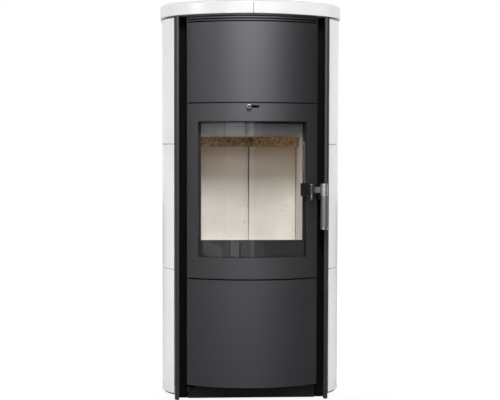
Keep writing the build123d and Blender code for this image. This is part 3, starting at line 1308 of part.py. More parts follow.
os.makedirs("parts", exist_ok=True)
for node, piece in all_pieces().items():
    export_step(Compound(children=solids_of(piece)), f"parts/{node}.step")
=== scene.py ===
# %% [markdown]
# # A tiled stove, finished round its measured frame
#
# A tiled stove is a steel firebox in a steel casing, dressed with glazed ceramic. The
# frame that is loaded here holds every piece at its true size, in metres, with +Z up and
# the doors towards -Y. The work that is left is what the eye meets: rounded edges, glaze,
# paint, glass, brick and bright metal. The frame is loaded first, and the finished stove's
# box is printed at the end.

# %% Load the frame
import math

import bmesh
import bpy
from mathutils import Matrix, Vector


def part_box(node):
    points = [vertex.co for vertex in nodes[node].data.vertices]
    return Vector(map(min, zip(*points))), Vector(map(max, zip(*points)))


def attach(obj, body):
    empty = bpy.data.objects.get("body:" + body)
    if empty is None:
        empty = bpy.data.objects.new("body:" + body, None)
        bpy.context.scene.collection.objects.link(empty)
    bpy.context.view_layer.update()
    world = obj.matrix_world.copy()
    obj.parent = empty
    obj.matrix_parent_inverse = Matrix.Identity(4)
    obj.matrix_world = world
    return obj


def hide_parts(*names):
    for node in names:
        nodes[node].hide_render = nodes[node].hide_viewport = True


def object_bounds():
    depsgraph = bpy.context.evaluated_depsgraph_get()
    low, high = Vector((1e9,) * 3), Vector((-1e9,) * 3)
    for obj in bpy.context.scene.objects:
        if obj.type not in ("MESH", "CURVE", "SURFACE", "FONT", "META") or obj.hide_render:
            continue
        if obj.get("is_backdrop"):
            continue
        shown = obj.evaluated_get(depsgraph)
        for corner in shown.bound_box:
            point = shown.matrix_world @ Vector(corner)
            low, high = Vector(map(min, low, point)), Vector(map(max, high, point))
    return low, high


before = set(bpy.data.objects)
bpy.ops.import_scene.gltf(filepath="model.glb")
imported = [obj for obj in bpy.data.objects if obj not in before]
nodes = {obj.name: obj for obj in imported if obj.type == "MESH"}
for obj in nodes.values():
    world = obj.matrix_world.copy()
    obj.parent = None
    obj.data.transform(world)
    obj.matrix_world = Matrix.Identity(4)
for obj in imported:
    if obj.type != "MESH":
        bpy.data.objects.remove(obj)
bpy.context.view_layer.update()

# %% [markdown]
# ## Where the curved front lies
#
# The doors and the cover above them are bent to one circle, seen from above. Its front-most
# line, its axis and its half width are needed again and again, by the panels, the glass and
# the louvre. So they are named once, the line and the half width from the fire door's own box.

# %% Measure the curved front
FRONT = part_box("door_panel")[0].y
PANEL_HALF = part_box("door_panel")[1].x
ROUND = 0.360
AXIS_Y = FRONT + ROUND
print("front line", round(FRONT, 4), "panel half width", round(PANEL_HALF, 4))

# %% [markdown]
# ## The camera
#
# The photograph was taken from a little to the left, with a long lens at about the height of
# the handle. A long lens keeps the upright edges nearly parallel. The camera is turned by its
# own axes: forward first, then right and up from it, with a slight roll.

# %% Set up the camera
CAMERA_PLACE = Vector((-0.1743, FRONT - 3.2136, 0.7428))
CAMERA_YAW, CAMERA_TILT, CAMERA_ROLL = 0.0513, 0.0423, 0.002
LENS, SENSOR = 79.2, 36


def camera_turn(yaw, tilt, roll):
    """Rotation of a camera that looks along +Y, turned right, tilted down and rolled."""
    forward = Vector((math.sin(yaw) * math.cos(tilt), math.cos(yaw) * math.cos(tilt),
                      -math.sin(tilt)))
    right = Vector((math.cos(yaw), -math.sin(yaw), 0))
    up = right.cross(forward)
    across = right * math.cos(roll) + up * math.sin(roll)
    rise = up * math.cos(roll) - right * math.sin(roll)
    return Matrix((across, rise, -forward)).transposed().to_4x4()


camera = bpy.data.objects.new("camera", bpy.data.cameras.new("camera"))
bpy.context.scene.collection.objects.link(camera)
turn = camera_turn(CAMERA_YAW, CAMERA_TILT, CAMERA_ROLL)
camera.matrix_world = Matrix.Translation(CAMERA_PLACE) @ turn
camera.data.lens, camera.data.sensor_width = LENS, SENSOR
bpy.context.scene.camera = camera
print("camera at", [round(v, 3) for v in CAMERA_PLACE])

# %% [markdown]
# ## Studio light
#
# A dark, curved thing shows what it mirrors, so its lamps are placed with care. A strong key
# lamp stands in front, about 38 degrees up: through the door's window it draws the soft shadow
# edge across the bricks. A wide, weaker panel below it gives the paint its broad sheen, and a
# small lamp at the left fills the shadows. Two panels at the sides and one near the floor are
# for the ceramic, and one reaches the brick at the fire's right flank. These four are hidden
# from mirror rays, as if a polarising filter were used, so that the glaze and the handle show
# no hot spots.

# %% Place the lamps
LAMPS = {  # place, aim, size, brightness and whether mirrors show it
    "key_lamp": ((0.0, -4.4, 4.15), (0, 0, 0.7), (1.0, 1.5), 43, True),
    "sheen_panel": ((0.20, -3.9, 1.85), (0, 0, 0.9), (3.5, 0.8), 3.4, True),
    "side_lamp": ((-3.0, -2.6, 1.9), (0.1, 0, 0.7), (0.8, 0.8), 5, True),
    "left_tile_panel": ((-2.6, -1.4, 0.7), (-0.2, 0, 0.7), (1.2, 1.2), 3.5, False),
    "flank_panel": ((-3.0, -2.6, 0.6), (0.15, 0, 0.65), (0.8, 0.8), 5.0, False),
    "right_tile_panel": ((2.7, -1.1, 0.7), (0.2, 0, 0.7), (1.2, 1.2), 8.0, False),
    "left_base_panel": ((-1.45, -0.3, 0.2), (-0.25, 0, 0.1), (0.7, 0.35), 4.0, False),
}


def soft_panel(name, place, aim, size, brightness, shown=True):
    """An oblong lamp that shines from place to aim; brightness is that of its own surface."""
    lamp = bpy.data.lights.new(name, "AREA")
    lamp.shape = "RECTANGLE"
    lamp.size, lamp.size_y = size
    lamp.energy = brightness * math.pi * size[0] * size[1]
    holder = bpy.data.objects.new(name, lamp)
    bpy.context.scene.collection.objects.link(holder)
    holder.location = place
    holder.rotation_euler = (Vector(aim) - Vector(place)).to_track_quat("-Z", "Y").to_euler()
    holder.visible_glossy = shown


for name, values in LAMPS.items():
    soft_panel(name, *values)
print("lamps:", *LAMPS)

# %% [markdown]
# ## What the glass mirrors
#
# Clear glass in front of something dark is only seen by what it mirrors: here upright strips of
# light, as from a window with bars. A strip could be tried and moved until it shows in the right
# place. It is quicker to say where on the pane it should show, and to follow the camera's ray
# from there, off the curve of the glass, to the plane in which the strips hang. Each row has
# its height on the pane, and for each strip its left and right edge and its brightness.

# %% Hang the strips that the pane mirrors
GLASS_RADIUS, GLASS_AXIS = 0.355, 0.155
STRIP_PLANE = -2.2
STRIP_ROWS = {
    "upper": (0.792, 0.8345, (
        (-0.152, -0.138, 0.25), (-0.138, -0.102, 0.45), (-0.101, -0.086, 0.70),
        (-0.082, -0.067, 0.85), (-0.067, -0.0250, 1.05), (-0.0195, -0.017, 1.00),
        (-0.0134, 0.002, 0.95), (0.002, 0.0185, 0.15), (0.0185, 0.0225, 0.50),
        (0.0225, 0.033, 0.08))),
    "middle": (0.486, 0.762, (
        (-0.152, -0.082, 0.20), (-0.080, -0.0255, 0.45), (-0.0195, 0.004, 0.40))),
    "lower": (0.4375, 0.486, (
        (-0.147, -0.113, 0.45), (-0.113, -0.090, 0.60), (-0.0875, -0.0695, 0.35),
        (-0.0665, -0.041, 0.80), (-0.035, -0.010, 0.35), (-0.0085, 0.0045, 0.60),
        (0.0045, 0.032, 0.15))),
    "edge": (0.655, 0.778, ((0.1515, 0.1595, 1.8),)),
}


def mirrored(x, z):
    """The place in the plane of the strips that the camera sees at x and z of the pane."""
    slant = math.asin(x / GLASS_RADIUS)
    glass = Vector((x, GLASS_AXIS - GLASS_RADIUS * math.cos(slant), z))
    ray = (glass - CAMERA_PLACE).reflect(Vector((math.sin(slant), -math.cos(slant), 0)))
    return glass + ray * ((STRIP_PLANE - glass.y) / ray.y)


for row, (low, high, patches) in STRIP_ROWS.items():
    for number, (left, right, brightness) in enumerate(patches, 1):
        corners = [mirrored(x, z) for x in (left, right) for z in (low, high)]
        middle_x, middle_z = (sum(c[k] for c in corners) / 4 for k in (0, 2))
        wide = corners[2].x - corners[0].x
        tall = (corners[1].z - corners[0].z + corners[3].z - corners[2].z) / 2
        soft_panel(f"{row}_strip_{number}", (middle_x, STRIP_PLANE, middle_z),
                   (middle_x, 0, middle_z), (wide, tall), brightness)
    print(row, "row of", len(patches), "strips")

# %% [markdown]
# ## Mixing materials with sums
#
# A material is a tree of nodes. Writing each node and link out is long, so one small class
# wraps a node's output: adding or multiplying it in Python adds the Math node for it. Every
# other kind of node comes from one method that sets its options first and then its inputs.

# %% Wire and Recipe
def grey(level):
    """A colour without a tint."""
    return (level, level, level)


class Wire:
    """One output of a node, on which + - * / and ** add Math nodes."""

    def __init__(self, recipe, node, key=0):
        self.recipe, self.node, self.key = recipe, node, key

    def out(self, key):
        """Another output of the same node."""
        return Wire(self.recipe, self.node, key)

    def math(self, operation, *others):
        """This value and others through one Math node."""
        values = dict(enumerate((self, *others)))
        return self.recipe.add("Math", values, operation=operation)

    def __add__(self, other):
        return self.math("ADD", other)

    __radd__ = __add__

    def __mul__(self, other):
        return self.math("MULTIPLY", other)

    __rmul__ = __mul__

    def __sub__(self, other):
        return self.math("SUBTRACT", other)

    def __rsub__(self, other):
        return (self * -1) + other

    def __truediv__(self, other):
        return self.math("DIVIDE", other)

    def __pow__(self, other):
        return self.math("POWER", other)


class Recipe:
    """A material that is being mixed: its nodes, and the shader that ends it."""

    def __init__(self, name, world=None):
        self.material = world or bpy.data.materials.new(name)
        self.material.use_nodes = True
        self.tree = self.material.node_tree
        self.shader = self.tree.nodes.get("Principled BSDF")
        self.place = self.add("TexCoord").out("Object")

    def add(self, kind, values=None, **settings):
        """A node of one kind: its settings, then the values or links of its sockets."""
        node = self.tree.nodes.new("ShaderNode" + kind)
        for key, value in settings.items():
            setattr(node, key, value)
        for key, value in (values or {}).items():
            self.feed(node.inputs[key], value)
        return Wire(self, node)

    def feed(self, socket, value):
        """A link or a plain value into one socket."""
        if isinstance(value, Wire):
            self.tree.links.new(value.node.outputs[value.key], socket)
        elif hasattr(socket.default_value, "__len__") and len(socket.default_value) == 4:
            socket.default_value = (*value, 1)
        else:
            socket.default_value = value

    def noise(self, size, detail=2, roughness=0.5, where=None):
        """Cloudy noise whose blobs are about this many metres across."""
        values = {"Vector": where or self.place, "Scale": 1 / size,
                  "Detail": detail, "Roughness": roughness}
        return self.add("TexNoise", values)

    def cells(self, size, feature="F1"):
        """Distance to the nearest of a scatter of points this many metres apart."""
        values = {"Vector": self.place, "Scale": 1 / size}
        return self.add("TexVoronoi", values, feature=feature)

    def ramp(self, value, *stops):
        """A value turned into a colour or a softer value by a ramp with these stops."""
        wire = self.add("ValToRGB", {0: value})
        elements = wire.node.color_ramp.elements
        while len(elements) < len(stops):
            elements.new(1)
        for element, (place, colour) in zip(elements, stops):
            element.position = place
            element.color = (*(colour if hasattr(colour, "__len__") else grey(colour)), 1)
        return wire

    def between(self, factor, first, second):
        """A mix of two colours, which a Mix node takes at its sockets 6 and 7."""
        values = {0: factor, 6: first, 7: second}
        return self.add("Mix", values, data_type="RGBA").out(2)

    def relief(self, height, depth, strength=1.0):
        """A bump of this many metres."""
        values = {"Height": height, "Distance": depth, "Strength": strength}
        return self.add("Bump", values)

    def end_with(self, shader):
        """Makes this the shader that the material ends with."""
        surface = self.tree.nodes["Material Output"].inputs["Surface"]
        self.tree.links.new(shader.node.outputs[0], surface)

    def finish(self, **values):
        """Feeds the sockets of the main shader, and gives the finished material."""
        for key, value in values.items():
            self.feed(self.shader.inputs[key.replace("_", " ")], value)
        print("mixed", self.material.name, "with", len(self.tree.nodes), "nodes")
        return self.material


# %% [markdown]
# ## White sweep
#
# The stove stands on a white sweep, a sheet that rises behind it, while the room in front of it
# is dim, with a little light on the left. The camera sees pure white all round, but the stove is
# lit by the room itself: bright behind, dark in front, so that the paint stays dark.

# %% Sky
ROOM_IN_FRONT, ROOM_ON_LEFT, SWEEP_BEHIND = 0.012, 0.13, 1.0

world = bpy.data.worlds.new("studio")
bpy.context.scene.world = world
sky = Recipe("studio", world)
ray = sky.add("LightPath")
direction = sky.add("TexCoord").out("Generated")
toward = sky.add("SeparateXYZ", {0: direction})
behind = sky.ramp(toward.out("Y") * 0.5 + 0.5, (0.55, 0.0), (0.80, 1.0))
left = sky.ramp(toward.out("X") * 0.5 + 0.5, (0.10, 1.0), (0.45, 0.0))
room = behind * SWEEP_BEHIND + left * ROOM_ON_LEFT + ROOM_IN_FRONT
seen = ray.out("Is Camera Ray").math("MAXIMUM", ray.out("Is Transmission Ray"))
background = sky.tree.nodes["Background"]
sky.feed(background.inputs["Color"], grey(1))
sky.feed(background.inputs["Strength"], seen + (1 - seen) * room)
print("sky of", len(sky.tree.nodes), "nodes")

# %% [markdown]
# ## Pale floor
#
# The floor is a plain sheet, painted darker in front of the stove as painted shade of the dim
# room. It keeps the soft shadow round the plinth, and further out a glow takes over, which fades
# it to the same white, so that its edge is never seen.

# %% Floor
FLOOR_SIZE, FLOOR_SHADE_IN_FRONT, FLOOR_BEHIND = 24.0, 0.18, 0.90
FADE_START, FADE_END = 0.4, 1.6
FLOOR_GLOW, SHADOW_KEPT = 1.15, 0.2


def pale_floor():
    mix = Recipe("pale_floor")
    ray = mix.add("LightPath")
    away = mix.add("VectorMath", {0: mix.place}, operation="LENGTH").out("Value")
    fade = mix.ramp(away / FADE_END, (FADE_START / FADE_END, 0.0), (1.0, 1.0))
    glow = mix.add("Emission", {"Color": grey(1), "Strength": FLOOR_GLOW})
    part_seen = ray.out("Is Camera Ray") * (fade * SHADOW_KEPT + (1 - SHADOW_KEPT))
    mix.end_with(mix.add("MixShader", {0: part_seen, 1: Wire(mix, mix.shader), 2: glow}))
    depth = mix.add("SeparateXYZ", {0: mix.place}).out("Y")
    # painted shade: the sheet is darker in front of the stove
    sheet = mix.between(mix.ramp(depth + 0.5, (0.3, 0.0), (0.7, 1.0)),
                        grey(FLOOR_SHADE_IN_FRONT), grey(FLOOR_BEHIND))
    return mix.finish(Base_Color=sheet, Roughness=0.9)


bpy.ops.object.select_all(action="DESELECT")
bpy.ops.mesh.primitive_plane_add(size=FLOOR_SIZE, location=(0, 0, 0))
floor = bpy.context.object
floor.name = "floor"
floor.data.materials.append(pale_floor())
floor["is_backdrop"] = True

# %% [markdown]
# ## White glaze
#
# Stove tiles are fired clay under a satin white glaze. The glaze pools a little, so its white
# drifts very slightly, it has the faint waviness of orange peel, and here and there a speck
# shows. Clouds of noise give the drift, finer noise the peel, and widely spaced cells the specks.

# %% Glaze
def white_glaze():
    mix = Recipe("white_glaze")
    drift = mix.noise(0.16, 3)
    speck = mix.ramp(mix.cells(0.011), (0.025, 1.0), (0.05, 0.0))
    body = mix.between(mix.ramp(drift, (0.35, 0.0), (0.65, 1.0)),
                       (0.710, 0.710, 0.702), (0.755, 0.755, 0.748))
    colour = mix.between(speck * 0.16, body, (0.42, 0.38, 0.32))
    peel = mix.noise(0.007, 2)
    rough = mix.noise(0.03, 3) * 0.10 + 0.17 + speck * 0.15
    bump = mix.relief(peel + mix.noise(0.06, 1) * 2.0, 0.00022, 0.6)
    return mix.finish(Base_Color=colour, Roughness=rough, Normal=bump,
                      Coat_Weight=0.25, Coat_Roughness=0.08)


glaze = white_glaze()

# %% [markdown]
# ## Heat-proof paint
#
# Stove paint is sprayed on in thin coats and baked. It is nearly black, dull, and covered with
# a grain finer than sand that spreads reflections wide. The paint of the front and the lever
# is full of metal flake, while the posts and the plinth are plain black.

# %% Paints
PAINT_RELIEF, COARSE = 0.00006, 0.0014


def stove_paint(name, dark, light, roughness, flake=0.0, shine=0.5, grain=0.0009):
    """Baked paint between two tones; flake is its share of metal, shine its gloss."""
    mix = Recipe(name)
    fine = mix.noise(grain, 2, 0.7)
    patch = mix.noise(0.09, 3)
    colour = mix.between(mix.ramp(fine, (0.35, 0.0), (0.7, 1.0)), dark, light)
    rough = fine * 0.10 + patch * 0.06 + (roughness - 0.08)
    return mix.finish(Base_Color=colour, Roughness=rough, Metallic=flake,
                      Normal=mix.relief(fine, PAINT_RELIEF, 0.7), Specular_IOR_Level=shine)


front_paint = stove_paint("front_paint", (0.106, 0.104, 0.114), (0.158, 0.155, 0.169), 0.50, 1.0)
post_paint = stove_paint("post_paint", (0.006, 0.006, 0.0066), (0.01, 0.01, 0.0108), 0.50,
                         shine=0.9)
handle_paint = stove_paint("handle_paint", (0.098, 0.096, 0.101), (0.142, 0.140, 0.146), 0.50, 1.0)
black_paint = stove_paint("black_paint", (0.0032, 0.0032, 0.0036), (0.006, 0.006, 0.0066), 0.50)
# Painted shade: a black darker and duller than the body's, for pieces that lie in the dark.
shade_paint = stove_paint("shade_paint", (0.0015, 0.0015, 0.0018), (0.003, 0.003, 0.0034), 0.70,
                           shine=0.1)
inner_paint = stove_paint("inner_paint", grey(0.018), grey(0.032), 0.60, 0.0, 0.4, COARSE)
fire_paint = stove_paint("fire_paint", grey(0.012), grey(0.018), 0.62, 0.0, 0.4, COARSE)
flame_steel = stove_paint("flame_steel", (0.165, 0.164, 0.166), (0.23, 0.229, 0.231), 0.60,
                          grain=COARSE)

# %% [markdown]
# ## Firebricks and boards
#
# The firebox is lined with pressed chamotte, which is cream and sandy, with small darker grains
# and a few pores, and its upper part is painted browner and darker: painted shade under the
# boards, with painted warm light that they bounce. The boards that turn the smoke back are
# pressed vermiculite: brown, flaky and glittering. Both are mixed from cells over soft noise.

# %% Bricks and boards
WARM_SHADE_FROM, WARM_SHADE_TO = 0.60, 0.72


def chamotte():
    mix = Recipe("chamotte")
    cloud = mix.noise(0.07, 4)
    sand = mix.noise(0.0016, 3, 0.7)
    grains = mix.ramp(mix.cells(0.0055), (0.12, 1.0), (0.24, 0.0))
    pores = mix.ramp(mix.cells(0.009, feature="SMOOTH_F1"), (0.08, 1.0), (0.16, 0.0))
    body = mix.between(mix.ramp(cloud, (0.3, 0.0), (0.7, 1.0)),
                       (0.86, 0.845, 0.79), (0.92, 0.91, 0.86))
    grained = mix.between(grains * 0.35, body, (0.50, 0.42, 0.31))
    pitted = mix.between(pores * 0.5, grained, (0.38, 0.32, 0.24))
    height = mix.add("SeparateXYZ", {0: mix.place}).out("Z")
    # Painted shade and painted warm bounce light: browner and darker towards the top, under the
    # boards.
    warm_shade = mix.ramp(height, (WARM_SHADE_FROM, 0.0), (WARM_SHADE_TO, 1.0))
    colour = mix.between(warm_shade, pitted, (0.76, 0.685, 0.59))
    bump = mix.relief(sand - pores * 1.5, 0.0004, 0.8)
    return mix.finish(Base_Color=colour, Roughness=sand * 0.1 + 0.82, Normal=bump)


def vermiculite():
    mix = Recipe("vermiculite")
    flakes = mix.cells(0.0036)
    tone = mix.ramp(flakes.out("Color"), (0.1, (0.11, 0.050, 0.022)), (0.5, (0.67, 0.37, 0.16)),
                    (0.95, (1.0, 0.79, 0.47)))
    dust = mix.noise(0.012, 4)
    colour = mix.between(mix.ramp(dust, (0.4, 0.0), (0.75, 0.35)), tone, (0.30, 0.17, 0.085))
    bump = mix.relief(flakes, 0.0008, 0.8)
    return mix.finish(Base_Color=colour, Roughness=0.78, Normal=bump)


brick = chamotte()
board = vermiculite()

# %% [markdown]
# ## Bare metals
#
# Rolled sheet carries long fine lines from the mill, castings are rough and dark, small screws
# are zinc-plated, and the handle's fittings are turned and polished, with its grip bead-blasted
# to a satin grey. One recipe serves all of them: fine noise that is stretched along the lines
# of the working, with its own colour, shine and depth for each metal.

# %% Metals
def metal(name, dark, light, roughness, stretch=(1, 1, 1), grain=0.0012, depth=0.00002,
          spread=0.1, full=1.0):
    """Bare metal between two tones; stretch draws its grain out along the lines of working."""
    mix = Recipe(name)
    lines = mix.add("Mapping", {"Vector": mix.place, "Scale": stretch}, vector_type="POINT")
    fine = mix.noise(grain, 3, 0.6, lines)
    cloud = mix.noise(0.03, 3)
    colour = mix.between(cloud * 0.5 + fine * 0.5, dark, light)
    rough = fine * spread + cloud * spread + (roughness - spread)
    return mix.finish(Base_Color=colour, Roughness=rough, Metallic=full,
                      Normal=mix.relief(fine, depth, 0.6))


ALONG_X, ALONG_Z = (0.04, 1, 1), (1, 1, 0.04)
sheet_steel = metal("sheet_steel", grey(0.30), (0.42, 0.42, 0.41), 0.42, ALONG_X, full=0.9)
zinc = metal("zinc", grey(0.52), (0.68, 0.68, 0.66), 0.34)
cast_iron = metal("cast_iron", (0.020, 0.019, 0.018), (0.045, 0.042, 0.040), 0.62,
                  grain=0.0025, depth=0.0004, full=0.4)
bright = metal("bright_fittings", grey(0.60), (0.72, 0.72, 0.71), 0.16, ALONG_Z,
               depth=0.000005, spread=0.04)
satin = metal("satin_grip", (0.29, 0.29, 0.295), (0.35, 0.35, 0.355), 0.52,
              depth=0.00001, spread=0.05)
shaft_metal = metal("shaft_metal", (0.30, 0.29, 0.27), (0.37, 0.36, 0.34), 0.30, ALONG_X,
                    spread=0.05)
clamp_metal = metal("clamp_metal", grey(0.58), (0.70, 0.70, 0.69), 0.44, ALONG_Z,
                    depth=0.00001, spread=0.05)

# %% [markdown]
# ## Seals and rubber
#
# The door closes on a rope of woven glass fibre, grey from the loom. Two waves that cross make
# the weave, with fuzz on top. The pads under the ceramic top are plain dark silicone.

# %% Rope and pads
THREADS = 90


def woven_rope():
    mix = Recipe("woven_rope")
    mirror = mix.add("Mapping", {"Vector": mix.place, "Scale": (-1, 1, 1)})
    first, second = (mix.add("TexWave", {"Vector": place, "Scale": THREADS},
                             bands_direction="DIAGONAL").out("Fac")
                     for place in (mix.place, mirror))
    weave = first.math("MAXIMUM", second)
    fuzz = mix.noise(0.0006, 3, 0.7)
    colour = mix.between(weave * 0.7 + fuzz * 0.3, (0.05, 0.05, 0.048), (0.20, 0.195, 0.185))
    return mix.finish(Base_Color=colour, Roughness=0.95,
                      Normal=mix.relief(weave + fuzz * 0.5, 0.0006))


def pad_silicone():
    mix = Recipe("pad_silicone")
    fine = mix.noise(0.002, 2)
    colour = mix.between(fine, grey(0.030), (0.045, 0.045, 0.044))
    return mix.finish(Base_Color=colour, Roughness=fine * 0.2 + 0.5,
                      Normal=mix.relief(fine, 0.00005))


rope = woven_rope()
silicone = pad_silicone()

# %% [markdown]
# ## The pane
#
# The pane is clear glass ceramic. A real one lets light through and mirrors a little of the
# room: four parts in a hundred head-on, and nearly all of it at a glancing angle. A clear shader
# and a mirror are mixed by that share, and the clear one lets the lamps light the bricks behind.

# %% Glass
HEAD_ON = 0.04


def clear_pane():
    mix = Recipe("clear_pane")
    film = mix.noise(0.05, 3)
    through = mix.add("BsdfTransparent", {"Color": (0.985, 0.976, 0.972)})
    facing = mix.add("LayerWeight", {"Blend": 0.5}).out("Facing")
    share = facing ** 5 * (1 - HEAD_ON) + HEAD_ON
    mix.end_with(mix.add("MixShader", {0: share, 1: through, 2: Wire(mix, mix.shader)}))
    return mix.finish(Base_Color=grey(0.95), Metallic=1.0, Roughness=film * 0.03 + 0.01)


pane = clear_pane()

# %% [markdown]
# ## Working by hand, in code
#
# In Blender's window one picks faces and edges with the mouse and then calls a tool. In code
# the picking is done by place: a face is chosen because its middle lies here, or because it
# looks that way. A few short helpers do what the hand does: start from a primitive, pick, cut,
# apply a modifier, and make a mirrored twin.

# %% Helpers for modelling
NEAR, DOUBLES, ON_PLANE = 0.00005, 0.00001, 0.000001


def only(piece):
    """Leaves edit mode, and makes one piece the only selected and the active one."""
    if bpy.context.object and bpy.context.object.mode == "EDIT":
        bpy.ops.object.mode_set(mode="OBJECT")
    bpy.ops.object.select_all(action="DESELECT")
    piece.select_set(True)
    bpy.context.view_layer.objects.active = piece


def open_up(piece):
    """Opens one piece in edit mode, with all of it selected."""
    only(piece)
    bpy.ops.object.mode_set(mode="EDIT")
    bpy.ops.mesh.select_all(action="SELECT")


def start(primitive, name, **values):
    """A new primitive under its own name, its place moved into its mesh, in edit mode."""
    bpy.ops.object.select_all(action="DESELECT")
    primitive(**values)
    piece = bpy.context.object
    piece.name = piece.data.name = name
    bpy.ops.object.transform_apply(location=True, rotation=True, scale=True)
    bpy.ops.object.mode_set(mode="EDIT")
    return piece


def middle(item):
    """The middle of a corner, an edge or a face."""
    corners = [item] if hasattr(item, "co") else item.verts
    return sum((corner.co for corner in corners), Vector()) / len(corners)


def pick(kind, test):
    """Selects those verts, edges or faces of the piece in edit mode that pass a test."""
    bpy.ops.mesh.select_mode(type={"verts": "VERT", "edges": "EDGE", "faces": "FACE"}[kind])
    bpy.ops.mesh.select_all(action="DESELECT")
    mesh = bpy.context.edit_object.data
    chosen = [item for item in getattr(bmesh.from_edit_mesh(mesh), kind) if test(item)]
    for item in chosen:
        item.select_set(True)
    bmesh.update_edit_mesh(mesh)
    return len(chosen)


def cut(place, facing, clear=True, fill=False):
    """Cuts the whole piece by a plane; what lies on its facing side is cleared away."""
    bpy.ops.mesh.select_all(action="SELECT")
    bpy.ops.mesh.bisect(plane_co=place, plane_no=facing, clear_outer=clear, use_fill=fill,
                        threshold=ON_PLANE)


def push(x=0.0, y=0.0, z=0.0):
    """Extrudes what is selected by this much."""
    bpy.ops.mesh.extrude_region_move(TRANSFORM_OT_translate={"value": (x, y, z)})


def merge_doubles():
    """Selects all of the piece in edit mode and merges corners that lie on one spot."""
    bpy.ops.mesh.select_all(action="SELECT")
    bpy.ops.mesh.remove_doubles(threshold=DOUBLES)


def face_out():
    """Merges doubles and points every face of the piece in edit mode outwards."""
    merge_doubles()
    bpy.ops.mesh.normals_make_consistent(inside=False)


def work(piece, kind, **settings):
    """Gives the piece one modifier and applies it."""
    only(piece)
    tool = piece.modifiers.new(kind.lower(), kind)
    for key, value in settings.items():
        setattr(tool, key, value)
    bpy.ops.object.modifier_apply(modifier=tool.name)


def soft_edges(piece, width, segments=2, degrees=40):
    """Rounds every edge that is sharper than this."""
    work(piece, "BEVEL", width=width, segments=segments, limit_method="ANGLE",
         angle_limit=math.radians(degrees))


def copied(piece, name):
    """A copy of a piece under its own name, with its own mesh."""
    only(piece)
    bpy.ops.object.duplicate()
    copy = bpy.context.object
    copy.name = copy.data.name = name
    return copy


def twin(piece, name):
    """A mirrored copy on the stove's other side."""
    copy = copied(piece, name)
    open_up(copy)
    bpy.ops.transform.resize(value=(-1, 1, 1), center_override=(0, 0, 0))
    bpy.ops.mesh.normals_make_consistent(inside=False)
    bpy.ops.object.mode_set(mode="OBJECT")
    return copy


def weld(piece, *others):
    """Joins other pieces into this one."""
    only(piece)
    for other in others:
        other.select_set(True)
    bpy.ops.object.join()
    return piece


def done(piece, finish, body, slot, *replaced):
    """Smooths a piece, gives it its finish, the body it rides on and the nodes it stands for."""
    only(piece)
    bpy.ops.object.shade_smooth_by_angle(angle=math.radians(35))
    work(piece, "WEIGHTED_NORMAL", weight=100, keep_sharp=True)
    piece.data.materials.clear()
    piece.data.materials.append(finish)
    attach(piece, body)
    if replaced:
        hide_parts(*replaced)
    size = [round(side * 1000, 1) for side in piece.dimensions]
    print("made", piece.name, "of", len(piece.data.polygons), "faces,", *size, "mm")
    return piece


def done_both(piece, left_name, finish, slot, node):
    """Finishes the mirrored twin of a right-hand piece, and then the piece itself."""
    done(twin(piece, left_name), finish, "stove", slot, node.replace("right", "left"))
    done(piece, finish, "stove", slot, node)


# %% [markdown]
# ## Curved steel panels
#
# The front panels are 2.5 mm steel sheet, rolled to one radius, with their ends folded back at
# a press. Each is made the same way here: an open cylinder is the rolled sheet, two cuts give
# its width, its end edges are extruded back as the folds, and the fold lines are bevelled to
# the press's small radius. Openings are cut out while it is still one thin skin, because that
# is easy, and only then does Solidify give it the thickness of the sheet.

# %% Curved panels
SHEET, FOLD_ROUND, EASED = 0.0025, 0.0015, 0.0003
ARC_END = AXIS_Y - math.sqrt(ROUND**2 - PANEL_HALF**2)


def cut_opening(left, right, low, high):
    """Removes a rectangle from the curved skin in edit mode."""
    for x in (left, right):
        cut((x, 0, 0), (1, 0, 0), clear=False)
    for z in (low, high):
        cut((0, 0, z), (0, 0, 1), clear=False)
    pick("faces", lambda face: left < middle(face).x < right and low < middle(face).z < high)
    bpy.ops.mesh.delete(type="FACE")


def rolled(name, radius, half, low, high, sides):
    """The front of an open cylinder, rolled about the doors' axis to this half width."""
    skin = start(bpy.ops.mesh.primitive_cylinder_add, name, vertices=sides, radius=radius,
                 depth=high - low, end_fill_type="NOTHING", location=(0, AXIS_Y, (low + high) / 2))
    cut((half, 0, 0), (1, 0, 0))
    cut((-half, 0, 0), (-1, 0, 0))
    cut((0, AXIS_Y, 0), (0, 1, 0))
    return skin


def curved_skin(name, node):
    """The skin of the panel that stands for a node, its ends folded back."""
    low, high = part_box(node)
    skin = rolled(name, ROUND, PANEL_HALF, low.z, high.z, 288)
    pick("edges", lambda edge: abs(middle(edge).x) > PANEL_HALF - NEAR)
    push(y=high.y - ARC_END)
    pick("edges", lambda edge: abs(middle(edge).x) > PANEL_HALF - NEAR
         and abs(middle(edge).y - ARC_END) < NEAR)
    bpy.ops.mesh.bevel(offset=FOLD_ROUND, segments=5)
    return skin


def thicken(skin):
    """Points the skin outwards, gives it the sheet's thickness inwards and eases its edges."""
    face_out()
    work(skin, "SOLIDIFY", thickness=SHEET, offset=-1, use_even_offset=True)
    soft_edges(skin, EASED)


lower_panel = curved_skin("lower_panel", "lower_door_panel")
thicken(lower_panel)
done(lower_panel, front_paint, "lower_door", "front_paint", "lower_door_panel")

# %% [markdown]
# ## The cover above the fire door
#
# The cover hangs on two lips, which are folds that turn inwards behind its ends. They are made
# as on the real sheet: the end edge is extruded again, towards the middle, between two cuts
# that keep the lips shorter than the panel.

# %% Upper cover
LIP_LOW, LIP_HIGH, LIP_REACH = 0.917, 1.096, 0.0225

cover = curved_skin("cover_panel", "upper_panel")
cover_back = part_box("upper_panel")[1].y
for z in (LIP_LOW, LIP_HIGH):
    cut((0, 0, z), (0, 0, 1), clear=False)
for side in (-1, 1):
    pick("edges", lambda edge: abs(middle(edge).x - side * PANEL_HALF) < NEAR
         and abs(middle(edge).y - cover_back) < NEAR and LIP_LOW < middle(edge).z < LIP_HIGH)
    push(x=-side * LIP_REACH)
thicken(cover)
done(cover, front_paint, "stove", "front_paint", "upper_panel")

